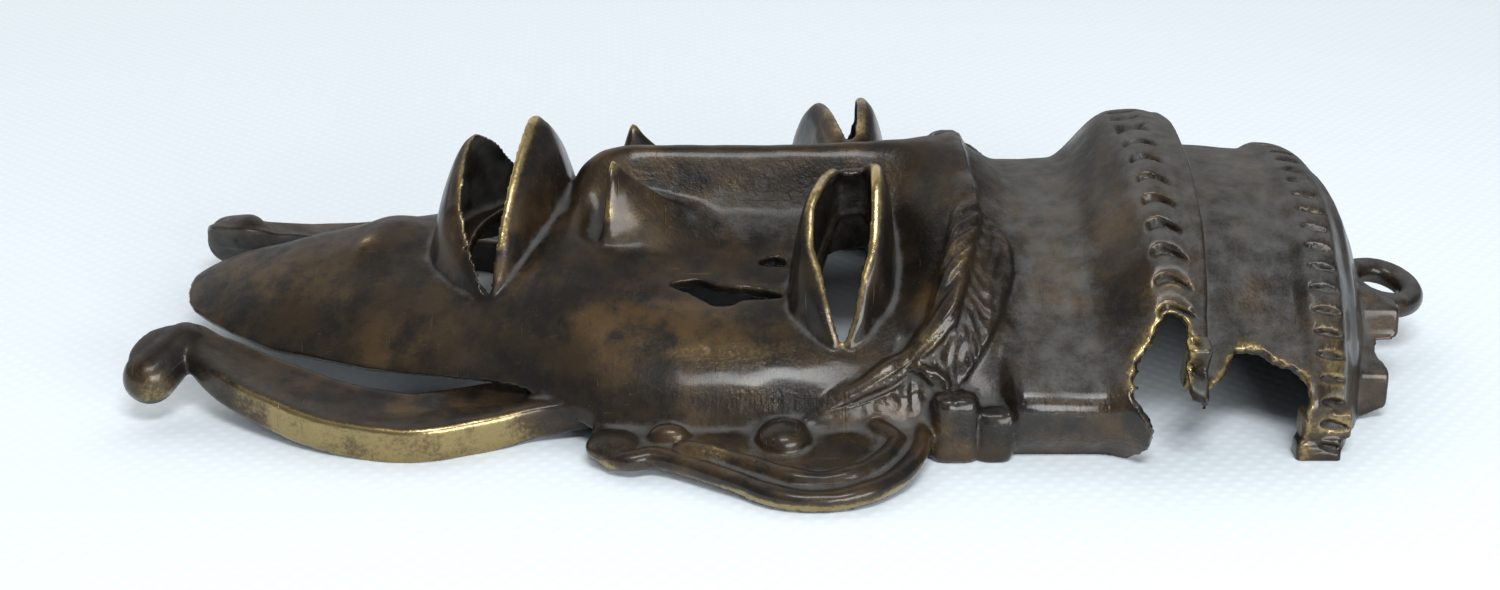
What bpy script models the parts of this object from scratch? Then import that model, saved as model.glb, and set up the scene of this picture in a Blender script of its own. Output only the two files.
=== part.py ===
# Cast bronze face mask lying on its back: chin at -X, crown and hanging ring at +X,
# face upwards, the rim of its hollow back on the plane Z = 0.
# The whole mask is one lost-wax casting: a sheet shell with bars, ears, lids and lips drawn out of it.

import math

import bmesh
import bpy
import numpy as np
from mathutils import Vector

MM = 0.001

# Driving sizes of the casting
LENGTH = 239 * MM          # knob of the chin bars to the end of the ring
WIDTH = 132 * MM           # over both ears
HEIGHT = 45.5 * MM         # back rim to the peak of the upper lip
WALL = 2.4 * MM            # wax sheet of the shell
RIM_WALL = 2.7 * MM        # walls of the eyelids and the lips
BROW_CORD = 2.9 * MM       # radius of the rolled cord along the brow
BROW_BAND = 0.9 * MM       # thickness of the band laid behind the cord
RIDGE_RISE = 7.0 * MM      # front crest of the cap above the cap
BACK_RIDGE_RISE = 1.3 * MM  # rear crest of the cap above the cap
NOTCH_DEPTH = 1.6 * MM     # cuts across both crests
FRONT_NOTCHES = 28         # cuts over the whole arch of the front crest
BACK_NOTCHES = 32
EAR_RADIUS = 20.0 * MM
EAR_PLATE = 2.6 * MM
EAR_ROLL = 1.7 * MM        # radius of the rolls on the ear
BOSS_RADIUS = 4.7 * MM
KNOB_RADIUS = 4.7 * MM     # ends of the chin bars
RING_HOLE = 3.7 * MM       # radius of the hole in the hanging ring
RING_WIRE = 2.4 * MM       # radius of the ring's own wire
TOOTH_WALL = 4.2 * MM      # thickness of the toothed flange on the back edge
GRAIN = 0.75 * MM          # finest form kept when the wax parts are melted together
TRIANGLES = 9600           # size of the finished faceted solid

# The free forms below are drawn on a grid of about one millimetre that the overall sizes stretch.
DRAWN = np.array((239.0, 132.0, 45.5))
UNIT = np.array((LENGTH, WIDTH, HEIGHT)) / DRAWN

# Shell, from the chin tip to the foot of the back wall:
# place along the mask, half width, crown height, edge height, squareness across, squareness upwards
SHELL = np.array((
    (-115.4, 4.0, 11.4, 10.2, 2.0, 1.0),
    (-114.2, 8.0, 12.2, 9.8, 2.0, 1.0),
    (-110.5, 12.4, 14.2, 9.2, 2.0, 1.0),
    (-104.0, 16.4, 17.2, 8.6, 2.0, 1.0),
    (-96.0, 20.0, 19.8, 8.2, 2.0, 1.0),
    (-88.0, 23.6, 21.6, 8.4, 2.0, 1.0),
    (-78.0, 28.6, 23.0, 8.8, 2.0, 1.0),
    (-68.0, 32.4, 23.8, 9.2, 2.0, 1.1),
    (-59.0, 34.8, 24.6, 9.4, 2.0, 1.2),
    (-50.0, 36.6, 27.4, 8.8, 2.0, 1.4),
    (-41.0, 40.0, 30.6, 5.6, 2.0, 1.7),
    (-33.0, 44.4, 28.4, 3.4, 2.1, 1.8),
    (-18.0, 46.5, 24.8, 2.0, 2.5, 2.2),
    (0.0, 46.5, 24.4, 1.4, 2.5, 2.3),
    (16.0, 46.0, 26.2, 0.4, 2.4, 2.2),
    (28.0, 45.5, 36.6, -1.0, 2.1, 2.0),
    (34.0, 45.5, 35.2, -1.0, 2.0, 2.0),
    (38.0, 45.5, 34.0, -1.0, 2.0, 2.0),
    (48.0, 45.5, 34.2, -1.0, 2.0, 2.0),
    (56.0, 45.5, 36.0, -1.0, 2.0, 2.0),
    (64.0, 45.5, 37.2, -1.0, 2.0, 2.0),
    (72.0, 45.2, 37.2, -1.0, 2.0, 2.0),
    (86.0, 44.6, 36.4, -1.0, 2.0, 2.0),
    (90.0, 44.2, 36.3, -1.0, 2.0, 2.0),
    (93.8, 42.8, 35.4, -1.0, 2.0, 2.0),
    (96.4, 38.6, 34.0, -1.0, 2.0, 2.0),
    (99.0, 33.8, 31.4, -1.0, 2.0, 2.0),
    (101.2, 28.6, 27.4, -1.0, 2.0, 2.0),
    (103.0, 23.0, 22.8, -1.0, 2.0, 2.0),
    (104.8, 16.5, 17.4, -1.0, 2.0, 2.0),
    (105.6, 11.5, 10.0, -1.0, 2.0, 2.0),
    (106.0, 7.0, 0.4, -1.0, 2.0, 2.0),
))
CHIN_SKEW = 4.2  # how far the tip of the chin is bent towards +Y

# Nose ridge: place along the mask, height of its top above the back rim, half width of its wall
NOSE = np.array((
    (-42.2, 30.6, 4.0),
    (-40.6, 34.2, 4.2),
    (-38.6, 37.0, 4.4),
    (-35.0, 39.4, 4.6),
    (-29.0, 40.4, 4.8),
    (-8.0, 40.2, 5.0),
    (12.0, 41.0, 5.6),
    (24.0, 41.4, 8.0),
    (29.0, 41.4, 10.5),
    (33.0, 38.0, 13.0),
    (39.0, 34.0, 15.0),
))

# Flared wings of the nose: height, place and slant of the front edge, length
HOOD_RISE, HOOD_FRONT, HOOD_SLANT, HOOD_REACH = 12.8, -32.3, 0.15, 20.0

# Brow cord and the edge of the band behind it:
# how far round the arch (0 at the crown, 1 at its foot), place along the mask
BROW = np.array((
    (0.0, 29.5), (0.3, 30.2), (0.43, 29.8), (0.55, 28.5), (0.65, 27.0), (0.74, 25.8), (0.8, 24.2),
    (0.85, 20.5), (0.89, 15.8), (0.93, 10.5), (0.96, 4.0), (1.0, -6.0),
))
BAND = np.array((
    (0.0, 31.0), (0.35, 32.4), (0.41, 35.0), (0.5, 37.7), (0.6, 37.9), (0.7, 36.6), (0.8, 34.4),
    (0.87, 32.0), (0.93, 28.8), (1.0, 24.0),
))

# Eyelids of the +Y eye, from its inner to its outer corner:
# distance from the middle line, lower lid, upper lid, height of the rim
EYE = np.array((
    (7.4, 9.4, 12.2, 38.4),
    (9.0, 8.0, 13.4, 40.2),
    (13.0, 5.9, 14.8, 42.4),
    (18.0, 4.0, 15.6, 43.2),
    (22.5, 2.2, 16.0, 40.8),
    (27.5, 1.0, 15.4, 35.0),
    (33.0, 3.6, 12.6, 25.8),
    (37.5, 7.8, 9.4, 16.6),
))
EYE_FLARE = 2.6
FAR_EYE_SHIFT = -1.3  # the +Y eye stands a little nearer the chin

# Lips, from the -Y corner to the +Y corner: distance across, lower lip, upper lip, heights of their rims
MOUTH = np.array((
    (-24.5, -54.9, -53.9, 18.6, 18.6),
    (-21.5, -57.0, -53.1, 22.8, 23.8),
    (-17.0, -59.7, -51.7, 28.8, 30.8),
    (-12.0, -61.2, -50.2, 34.4, 37.2),
    (-6.0, -61.0, -48.6, 39.4, 42.4),
    (1.0, -59.9, -47.0, 42.0, 45.6),
    (7.0, -57.6, -46.2, 38.8, 42.4),
    (12.0, -55.6, -45.9, 34.4, 37.6),
    (17.0, -53.4, -46.0, 28.8, 31.0),
    (21.5, -51.7, -47.0, 22.8, 24.0),
    (24.5, -50.2, -49.2, 18.6, 18.6),
))
LOWER_LIP_FLARE, UPPER_LIP_FLARE = 6.8, 6.2

# Chin bars: middle of the bar, then its breadth and thickness
BAR = np.array((
    (-30.0, 35.0, 6.0, 9.0, 6.0),
    (-45.0, 35.6, 4.2, 11.5, 6.6),
    (-57.0, 39.0, 3.2, 13.4, 7.4),
    (-67.0, 41.8, 3.0, 13.8, 7.6),
    (-78.0, 40.2, 3.7, 13.2, 7.4),
    (-89.0, 35.8, 5.4, 12.4, 7.0),
    (-98.0, 31.2, 7.4, 11.2, 6.6),
    (-104.6, 27.6, 10.0, 9.4, 6.4),
    (-109.2, 25.8, 12.2, 8.0, 6.2),
    (-112.6, 26.8, 12.0, 7.4, 6.2),
    (-114.6, 29.6, 10.0, 7.4, 6.6),
    (-114.5, 32.0, 8.2, 7.0, 6.6),
))

FINGER = ((-109.2, 25.9, 12.2), (-114.4, 32.0, 8.4))  # from the bend of the bar to its rounded end

EAR_CENTRE = (2.4, 46.0)     # middle of the ear's rim, in plan
EAR_LOW, EAR_TILT = 1.5, 0.17  # height of the ear at its outer rim, and its rise towards the cheek
EAR_DROOP = 0.05             # and how its lobe sinks towards the chin
EAR_OUTER = 65.5
RING_PLACE = (111.0, 0.0, 11.7)

# Toothed flange of the back edge: height, how far it reaches along the mask, distance from the middle line
TEETH = np.array((
    (0.8, 100.6, 31.0),
    (2.0, 103.0, 30.6),
    (2.9, 104.7, 30.2),
    (8.6, 104.8, 29.0),
    (9.6, 103.6, 27.4),
    (11.2, 104.2, 22.4),
    (11.9, 108.3, 20.4),
    (16.4, 108.5, 19.2),
    (17.6, 106.4, 18.6),
    (19.6, 103.6, 18.0),
))
# Middle and size of the worn foot under the rear crest, in two blocks, and of the tabs at the temple
FOOT = (((90.4, 43.8, 5.8), (8.8, 4.8, 5.4)), ((89.2, 45.4, 1.2), (7.8, 4.2, 4.4)))
TABS = (((26.7, 46.8, 4.6), (8.8, 3.6, 12.0)), ((34.2, 46.8, 3.0), (5.2, 3.4, 9.6)))

# Broken edge of the cap on the -Y side, in side view
BREAK = (
    (54.0, -3.0), (56.8, 0.6), (58.6, 3.4), (58.9, 7.0), (57.6, 10.6), (56.0, 13.0), (55.9, 15.4),
    (56.8, 17.8), (58.5, 20.0), (60.6, 23.0), (62.4, 24.8), (64.6, 24.0), (65.3, 20.0), (65.4, 14.4),
    (66.6, 12.0), (68.8, 11.4), (70.8, 13.4), (71.6, 16.8), (74.2, 17.8), (78.6, 17.3), (82.6, 15.6),
    (86.2, 13.8), (86.4, 8.6), (86.8, -3.0),
)
# Casting holes in the -Y cheek, in plan
CHEEK_HOLES = (
    ((-23.0, -24.7), (-20.6, -23.5), (-17.4, -23.0), (-13.8, -24.4), (-10.3, -24.8), (-5.8, -25.4),
     (-2.3, -26.9), (-5.0, -27.8), (-9.4, -28.1), (-12.0, -29.4), (-14.6, -29.4), (-17.3, -27.6),
     (-20.2, -26.0)),
    ((-6.4, -17.6), (-4.8, -14.8), (-2.8, -15.1), (-3.6, -19.1)),
)


def smooth(table, at):
    """Columns of a table read along its first one, on a curve that keeps each rise and fall."""
    rows = table[np.argsort(table[:, 0])]
    x, y = rows[:, 0], rows[:, 1:]
    span = np.diff(x)[:, None]
    rise = np.diff(y, axis=0) / span
    slope = np.zeros_like(y)
    slope[0], slope[-1] = rise[0], rise[-1]
    before, after = rise[:-1], rise[1:]
    same = before * after > 0
    slope[1:-1][same] = 2 * before[same] * after[same] / (before[same] + after[same])
    at = np.clip(np.asarray(at, float), x[0], x[-1])
    cell = np.clip(np.searchsorted(x, at) - 1, 0, len(x) - 2)
    t = ((at - x[cell]) / (x[cell + 1] - x[cell]))[..., None]
    return (
        (1 + 2 * t) * (1 - t) ** 2 * y[cell]
        + t * (1 - t) ** 2 * span[cell] * slope[cell]
        + t * t * (3 - 2 * t) * y[cell + 1]
        - t * t * (1 - t) * span[cell] * slope[cell + 1]
    )


def step(value, low, high):
    t = np.clip((value - low) / (high - low), 0, 1)
    return t * t * (3 - 2 * t)


def face_height(x, y):
    """Height of the shell without its features, for places between the cheeks."""
    half, crown, edge, across, up = np.moveaxis(smooth(SHELL, x), -1, 0)
    inside = np.clip(1 - np.abs(y / half) ** across, 0, 1)
    return edge + (crown - edge) * inside ** (1 / up)


def side_line(table, phi):
    """Place along the mask of a line that runs over the arch, by the angle round it."""
    return smooth(table, np.abs(np.cos(phi)))[..., 0]


def front_crest(phi):
    return 59.3 + 3.2 * np.abs(np.cos(phi)) ** 1.3


def front_ledge(phi):
    """Rear edge of the front crest, where it drops to the cap."""
    return 70.8 - 2.4 * np.cos(phi) ** 6


def notch(phi, count):
    """Comb of narrow cuts round the arch, 1 in the middle of each cut."""
    turn = phi / math.pi * count
    return np.exp(-(((turn - np.round(turn)) / 0.22) ** 2))


def relief(x, y, z, phi):
    """How far the shell stands out from its plain section, in millimetres of the drawing."""
    nose_top, nose_half = np.moveaxis(smooth(NOSE, x), -1, 0)
    base = face_height(x, 0 * y)
    nose = np.maximum(nose_top - base, 0) / (1 + np.abs(y / nose_half) ** 2.3)
    nose = nose * step(x, -43.0, -41.0) * step(x, 41.0, 36.0)

    behind_front = x - HOOD_SLANT * y - HOOD_FRONT
    hood_top = HOOD_RISE * np.clip(1 - behind_front / HOOD_REACH, 0, 1) ** 1.1 * step(behind_front, -1.0, 0.4)
    aside = np.abs(y) - 9.4
    hood = hood_top * np.clip(1 - np.where(aside > 0, aside / 8.2, -aside / 4.8), 0, 1) ** 1.15

    bump = 2.6 * np.exp(-(((x + 75) / 7.0) ** 2) - (y / 6.5) ** 2)
    bump = bump + 2.2 * np.exp(-(((x + 79.4) / 2.6) ** 2) - ((y + 6.6) / 2.6) ** 2)

    line = side_line(BROW, phi)
    lean = np.hypot(1, (side_line(BROW, phi + 0.03) - line) / 0.03 / 42)
    from_brow = (x - line) / lean
    radius = BROW_CORD / MM
    cord = radius * np.sqrt(np.clip(1 - (from_brow / radius) ** 2, 0, 1)) * step(x, -3.0, 9.0)
    behind_cord = step(from_brow, 0.0, 2.0)
    band = BROW_BAND / MM * behind_cord * step(side_line(BAND, phi) - x, 0.0, 0.9)

    crest, ledge = front_crest(phi), front_ledge(phi)
    low_side = 0.62 + 0.38 * np.sin(phi)
    plateau = 1 - 0.22 * np.clip((x - crest - 5.0) / 6.0, 0, 1) ** 1.4
    front = RIDGE_RISE / MM * low_side * plateau * step(x - crest, -11.0, 0.3) * step(ledge - x, 0.0, 1.3)
    slant = 0.013 * (x - crest) * np.cos(phi) * np.abs(np.sin(phi)) ** 4
    along = step(x - crest, -0.8, 1.0) * step(x - crest, 6.6, 3.6)
    cut = NOTCH_DEPTH / MM * notch(phi + slant, FRONT_NOTCHES) * along

    behind = x - 89.2
    back = BACK_RIDGE_RISE / MM * step(behind, -3.6, -0.4) * step(behind, 8.0, 4.0)
    cut = cut + NOTCH_DEPTH / MM * notch(phi, BACK_NOTCHES) * step(behind, -0.8, 0.8) * step(behind, 6.2, 3.2)

    hem = 2.2 * step(z, 11.0, 5.0) * step(x, 22.0, 34.0) * step(x, 96.0, 84.0)
    return np.maximum(nose, cord) + hood + bump + band + front + back + hem - cut


def shell_surface(steps_along=300, steps_round=170):
    """Outer face of the shell as a grid of points."""
    run = np.concatenate(([0], np.cumsum(np.hypot(*np.diff(SHELL[:, [0, 2]], axis=0).T))))
    rows = smooth(np.column_stack((run, SHELL)), np.linspace(0, run[-1], steps_along))
    x, half, crown, edge, across, up = (column[:, None] for column in rows.T)
    phi = np.linspace(0, math.pi, steps_round)[None, :]
    cos = np.cos(phi)
    arch = np.maximum(1 - np.abs(cos) ** across, 1e-6)
    y, z = half * cos, edge + (crown - edge) * arch ** (1 / up)
    x, phi = x + 0 * y, phi + 0 * y
    out_y = across * np.sign(cos) * np.abs(cos) ** (across - 1) / half
    out_z = up * np.maximum(arch ** ((up - 1) / up), 0.02) / np.maximum(crown - edge, 1)
    size = np.hypot(out_y, out_z)
    rise = relief(x, y, z, phi)
    y = y + rise * out_y / size + CHIN_SKEW * step(x, -94.0, -114.0)
    return np.stack((x, y, z + rise * out_z / size), axis=-1)


def face_outwards(mesh):
    edit = bmesh.new()
    edit.from_mesh(mesh)
    bmesh.ops.remove_doubles(edit, verts=edit.verts, dist=0.00001)
    bmesh.ops.recalc_face_normals(edit, faces=edit.faces)
    edit.to_mesh(mesh)
    edit.free()


def mesh_object(name, points, faces):
    mesh = bpy.data.meshes.new(name)
    mesh.from_pydata([tuple(p) for p in np.asarray(points) * UNIT], [], faces)
    face_outwards(mesh)
    made = bpy.data.objects.new(name, mesh)
    bpy.context.collection.objects.link(made)
    return made


def grid_faces(rows, columns, closed=False):
    last = columns if closed else columns - 1
    return [
        (r * columns + c, (r + 1) * columns + c,
         (r + 1) * columns + (c + 1) % columns, r * columns + (c + 1) % columns)
        for r in range(rows - 1) for c in range(last)
    ]


def loft(name, rings):
    """Closed solid through a row of closed sections."""
    rings = np.asarray(rings)
    rows, columns = rings.shape[:2]
    faces = grid_faces(rows, columns, closed=True)
    faces.append(tuple(range(columns)))
    faces.append(tuple((rows - 1) * columns + c for c in range(columns)))
    return mesh_object(name, rings.reshape(-1, 3), faces)


def apply_modifiers(target):
    graph = bpy.context.evaluated_depsgraph_get()
    finished = bpy.data.meshes.new_from_object(target.evaluated_get(graph))
    target.modifiers.clear()
    target.data = finished


def subtract(target, cutter):
    cut = target.modifiers.new("cut", "BOOLEAN")
    cut.operation = "DIFFERENCE"
    cut.object = cutter
    apply_modifiers(target)
    bpy.data.objects.remove(cutter)


def make_shell():
    points = shell_surface()
    rows, columns = points.shape[:2]
    shell = mesh_object("shell", points.reshape(-1, 3), grid_faces(rows, columns))
    if shell.data.polygons[len(shell.data.polygons) // 2].normal.z < 0:
        shell.data.flip_normals()
    wall = shell.modifiers.new("wall", "SOLIDIFY")
    wall.thickness = WALL
    wall.offset = -1
    melt(shell, GRAIN * 0.8)
    return shell


def side_cutter(name, outline, near, far):
    """Prism across the mask, from an outline in side view."""
    return loft(name, [[(x, y, z) for x, z in outline] for y in (near, far)])


def plan_cutter(name, outline, low=-6.0, high=70.0):
    return loft(name, [[(x, y, z) for x, y in outline] for z in (low, high)])


def taper(count):
    """Share of the wall's thickness along a rim line: full in the middle, thinner at the corners."""
    return 1 - 0.5 * np.abs(np.linspace(-1, 1, count)) ** 2.5


def lid(name, line, inward, flare, thick):
    """Standing wall along a rim line: steep at its rim, spreading where it meets the face.
    line holds x, y, z of the rim; inward is +1 where the opening lies towards +X."""
    rings = []
    spread = np.linspace(0, 1, 12) ** 1.5
    for (x, y, z), share in zip(line, taper(len(line))):
        foot = face_height(x, y) - 1.6
        drop = max(z - foot, 1.0)
        reach = flare * min(drop / 16.0, 1.0)
        outer = [(x - inward * reach * v ** 0.55, y, z - drop * v) for v in spread]
        wall = thick * share
        inner = [(px + inward * wall * (1 + 0.25 * v), y, pz) for (px, _, pz), v in zip(outer, spread)]
        rings.append(outer + inner[::-1])
    return loft(name, rings)


def eye_lines(side):
    y = np.linspace(EYE[0, 0], EYE[-1, 0], 48)
    lower, upper, rim = smooth(EYE, y).T + np.array([[1], [1], [0]]) * max(side, 0) * FAR_EYE_SHIFT
    return [np.column_stack((x, side * y, rim)) for x in (lower, upper)]


def mouth_lines():
    y = np.linspace(MOUTH[0, 0], MOUTH[-1, 0], 81)
    lower, upper, low_rim, high_rim = smooth(MOUTH, y).T
    return np.column_stack((lower, y, low_rim)), np.column_stack((upper, y, high_rim))


def almond(first, second, margin):
    """Plan outline between two rim lines, kept a margin inside them."""
    middle = (first[:, 0] + second[:, 0]) / 2
    half = np.maximum((second[:, 0] - first[:, 0]) / 2 - margin * taper(len(first)), 0.25)
    there = np.column_stack((middle - half, first[:, 1]))
    back = np.column_stack((middle + half, first[:, 1]))[::-1]
    return [tuple(p) for p in np.concatenate((there, back))]


def make_lids(shell):
    thick = RIM_WALL / MM
    parts = []
    pairs = [eye_lines(1), eye_lines(-1), mouth_lines()]
    flares = [(EYE_FLARE, EYE_FLARE), (EYE_FLARE, EYE_FLARE), (LOWER_LIP_FLARE, UPPER_LIP_FLARE)]
    for (first, second), (first_flare, second_flare) in zip(pairs, flares):
        subtract(shell, plan_cutter("opening", almond(first, second, thick * 0.8)))
        parts.append(lid("lid", first, 1, first_flare, thick))
        parts.append(lid("lid", second, -1, second_flare, thick))
    return parts


def sweep(name, path, section):
    """Solid along a path; section(k, side, up) gives the outline at its k-th point."""
    rings = []
    heading = np.gradient(path, axis=0)
    for k, (point, along) in enumerate(zip(path, heading)):
        along = Vector(along).normalized()
        side = Vector((0, 0, 1)).cross(along).normalized()
        up = along.cross(side).normalized()
        rings.append([point + np.array(side) * a + np.array(up) * b for a, b in section(k)])
    return loft(name, rings)


def rounded_box(breadth, thick, sides=20, squareness=4.5):
    turn = np.linspace(0, 2 * math.pi, sides, endpoint=False)
    cos, sin = np.cos(turn), np.sin(turn)
    return np.column_stack((
        breadth / 2 * np.sign(cos) * np.abs(cos) ** (2 / squareness),
        thick / 2 * np.sign(sin) * np.abs(sin) ** (2 / squareness),
    ))


def ball(name, place, radii, segments=24):
    made = bpy.data.meshes.new(name)
    edit = bmesh.new()
    bmesh.ops.create_uvsphere(edit, u_segments=segments, v_segments=segments // 2, radius=1.0)
    for vert in edit.verts:
        vert.co = Vector(np.array(place) * UNIT) + Vector(np.array(vert.co) * np.array(radii))
    edit.to_mesh(made)
    edit.free()
    ready = bpy.data.objects.new(name, made)
    bpy.context.collection.objects.link(ready)
    return ready


def make_bars():
    parts = []
    knob = np.full(3, KNOB_RADIUS)
    for side in (1, -1):
        run = np.arange(len(BAR), dtype=float)
        rows = smooth(np.column_stack((run, BAR)), np.linspace(0, run[-1], 90))
        path = rows[:, :3] * (1, side, 1)
        parts.append(sweep("bar", path, lambda k: rounded_box(rows[k, 3], rows[k, 4])))
        for share in np.linspace(0, 1, 6):
            place = np.array(FINGER[0]) * (1 - share) + np.array(FINGER[1]) * share
            parts.append(ball("knob", place * (1, side, 1), knob * (0.84 + 0.16 * share)))
    return parts


def ear_point(x, y, lift=0.0):
    height = EAR_LOW + EAR_TILT * (EAR_OUTER - abs(y)) - EAR_DROOP * max(-x - 10.0, 0)
    return np.array((x, y, height + lift))


def arc(radius, start, end, count):
    turn = np.radians(np.linspace(start, end, count))
    return [(EAR_CENTRE[0] + radius * math.cos(t), EAR_CENTRE[1] + radius * math.sin(t)) for t in turn]


def make_ears():
    """Half-round plate with a rolled rim, a C-shaped roll inside it, a boss and a lobe towards the chin."""
    parts = []
    radius, roll = EAR_RADIUS / MM, EAR_ROLL / MM
    plate = arc(radius, -8, 130, 40) + [(-17.0, 57.4), (-24.0, 53.4), (-32.0, 53.4), (-36.2, 49.4)]
    plate += [(-35.0, 43.0), (-20.0, 42.0), (0.0, 42.0)]
    rim_line = arc(radius - 1.2, -20, 128, 40) + [(-16.4, 56.6), (-24.0, 52.4), (-32.0, 51.8)]
    curl = [(12.0, 46.2), (14.2, 47.6)] + arc(radius - 5.5, 16, 122, 40) + [(-11.0, 55.4), (-20.5, 51.4)]
    for side in (1, -1):
        low = [ear_point(x, side * y, -EAR_PLATE / MM / 2) for x, y in plate]
        high = [ear_point(x, side * y, EAR_PLATE / MM / 2) for x, y in plate]
        parts.append(loft("ear", [low, high]))
        for line, lift, thick in ((rim_line, 0.5, roll), (curl, 1.2, roll)):
            path = np.array([ear_point(x, side * y, lift) for x, y in line])
            circle = rounded_box(2 * thick, 2 * thick, sides=14, squareness=2.0)
            parts.append(sweep("roll", path, lambda k: circle))
        boss = np.array((1, 1, 0.75)) * BOSS_RADIUS
        parts.append(ball("boss", ear_point(-2.7, side * 49.4, 1.6), boss))
        parts.append(ball("small boss", ear_point(-22.2, side * 48.6, 1.4), boss * (0.76, 0.42, 0.6)))
        parts.append(ball("lobe end", ear_point(-32.0, side * 48.6, 0.2), boss * (1.0, 0.85, 0.5)))
    return parts


def make_ring():
    edit = bmesh.new()
    wire, middle = RING_WIRE, RING_HOLE + RING_WIRE
    first = bmesh.ops.create_circle(edit, segments=16, radius=wire)["verts"]
    for vert in first:
        vert.co = Vector((middle + vert.co.x, 0, vert.co.y))
    edges = list({edge for vert in first for edge in vert.link_edges})
    bmesh.ops.spin(edit, geom=first + edges, cent=(0, 0, 0), axis=(0, 0, 1), angle=2 * math.pi,
                   steps=40, use_merge=True)
    bmesh.ops.remove_doubles(edit, verts=edit.verts, dist=0.00001)
    bmesh.ops.recalc_face_normals(edit, faces=edit.faces)
    tilt = math.radians(9)
    for vert in edit.verts:
        x, y, z = vert.co
        z = z + x * -math.sin(tilt) + y * math.sin(tilt)
        vert.co = Vector(np.array(RING_PLACE) * UNIT) + Vector((x, y, z))
    mesh = bpy.data.meshes.new("ring")
    edit.to_mesh(mesh)
    edit.free()
    ring = bpy.data.objects.new("ring", mesh)
    bpy.context.collection.objects.link(ring)
    return ring


def block(name, centre, size, squareness=6.0):
    """Box with softened edges, standing on the drawing's axes."""
    x, y, z = centre
    breadth, depth, height = size
    outline = rounded_box(breadth, depth, sides=20, squareness=squareness)
    levels = ((-0.5, 0.9), (-0.42, 1.0), (0.42, 1.0), (0.5, 0.9))
    return loft(name, [[(x + a * k, y + b * k, z + height * v) for a, b in outline] for v, k in levels])


def make_edge_pieces():
    """Toothed flange on the back edge, the worn feet of the rear crest and the tabs at the temples."""
    half = TOOTH_WALL / MM / 2
    run = np.arange(len(TEETH), dtype=float)
    levels = smooth(np.column_stack((run, TEETH)), np.linspace(0, run[-1], 40))
    inner_edge = 96.0
    parts = []
    for side in (1, -1):
        rings = [
            [(inner_edge, side * (y - half), z), (x, side * (y - half), z),
             (x, side * (y + half), z), (inner_edge, side * (y + half), z)]
            for z, x, y in levels
        ]
        parts.append(loft("teeth", rings))
        for (x, y, z), size in FOOT:
            parts.append(block("foot", (x, side * y, z), size))
        for (x, y, z), size in TABS:
            parts.append(block("tab", (x, side * y, z), size, squareness=3.5))
    return parts


def melt(target, grain):
    """One skin round all that the object holds, as the wax has before it is cast."""
    skin = target.modifiers.new("skin", "REMESH")
    skin.mode = "VOXEL"
    skin.voxel_size = grain
    apply_modifiers(target)


def join(parts, name):
    bpy.ops.object.select_all(action="DESELECT")
    for part in parts:
        part.select_set(True)
    bpy.context.view_layer.objects.active = parts[0]
    bpy.ops.object.join()
    whole = bpy.context.view_layer.objects.active
    whole.name = name
    melt(whole, GRAIN)
    soft = whole.modifiers.new("soft", "SMOOTH")
    soft.factor, soft.iterations = 0.5, 3
    apply_modifiers(whole)
    facets = whole.modifiers.new("facets", "DECIMATE")
    facets.ratio = TRIANGLES / (2 * len(whole.data.polygons))
    facets.use_collapse_triangulate = True
    apply_modifiers(whole)
    return whole


def keep_largest(target):
    edit = bmesh.new()
    edit.from_mesh(target.data)
    left = set(edit.verts)
    bodies = []
    while left:
        found, queue = set(), [left.pop()]
        while queue:
            vert = queue.pop()
            found.add(vert)
            for edge in vert.link_edges:
                other = edge.other_vert(vert)
                if other in left:
                    left.discard(other)
                    queue.append(other)
        bodies.append(found)
    main = max(bodies, key=len)
    bmesh.ops.delete(edit, geom=[v for v in edit.verts if v not in main], context="VERTS")
    edit.to_mesh(target.data)
    edit.free()


def bronze():
    finish = bpy.data.materials.new("bronze")
    finish.use_nodes = True
    shader = finish.node_tree.nodes["Principled BSDF"]
    shader.inputs["Base Color"].default_value = (0.085, 0.062, 0.045, 1)
    shader.inputs["Metallic"].default_value = 0.9
    shader.inputs["Roughness"].default_value = 0.38
    return finish


def build():
    for old in list(bpy.data.objects):
        bpy.data.objects.remove(old)
    shell = make_shell()
    broken = side_cutter("break", BREAK, -70.0, -28.0)
    subtract(shell, broken)
    for hole in CHEEK_HOLES:
        subtract(shell, plan_cutter("casting hole", hole))
    parts = [shell] + make_lids(shell) + make_bars() + make_ears() + [make_ring()] + make_edge_pieces()
    mask = join(parts, "mask")
    floor = side_cutter("floor", ((-200, 0), (200, 0), (200, -40), (-200, -40)), -150, 150)
    subtract(mask, floor)
    keep_largest(mask)
    low, high = np.array(mask.bound_box).min(0), np.array(mask.bound_box).max(0)
    centre = Vector((low + high) / 2)
    for vert in mask.data.vertices:
        vert.co -= Vector((centre.x, centre.y, 0))
    mask.data.materials.clear()
    mask.data.materials.append(bronze())
    mask.data.set_sharp_from_angle(angle=math.radians(40))


build()
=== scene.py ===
import math
from functools import partial

import bpy
import numpy as np
from mathutils import Euler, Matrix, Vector, noise


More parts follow.
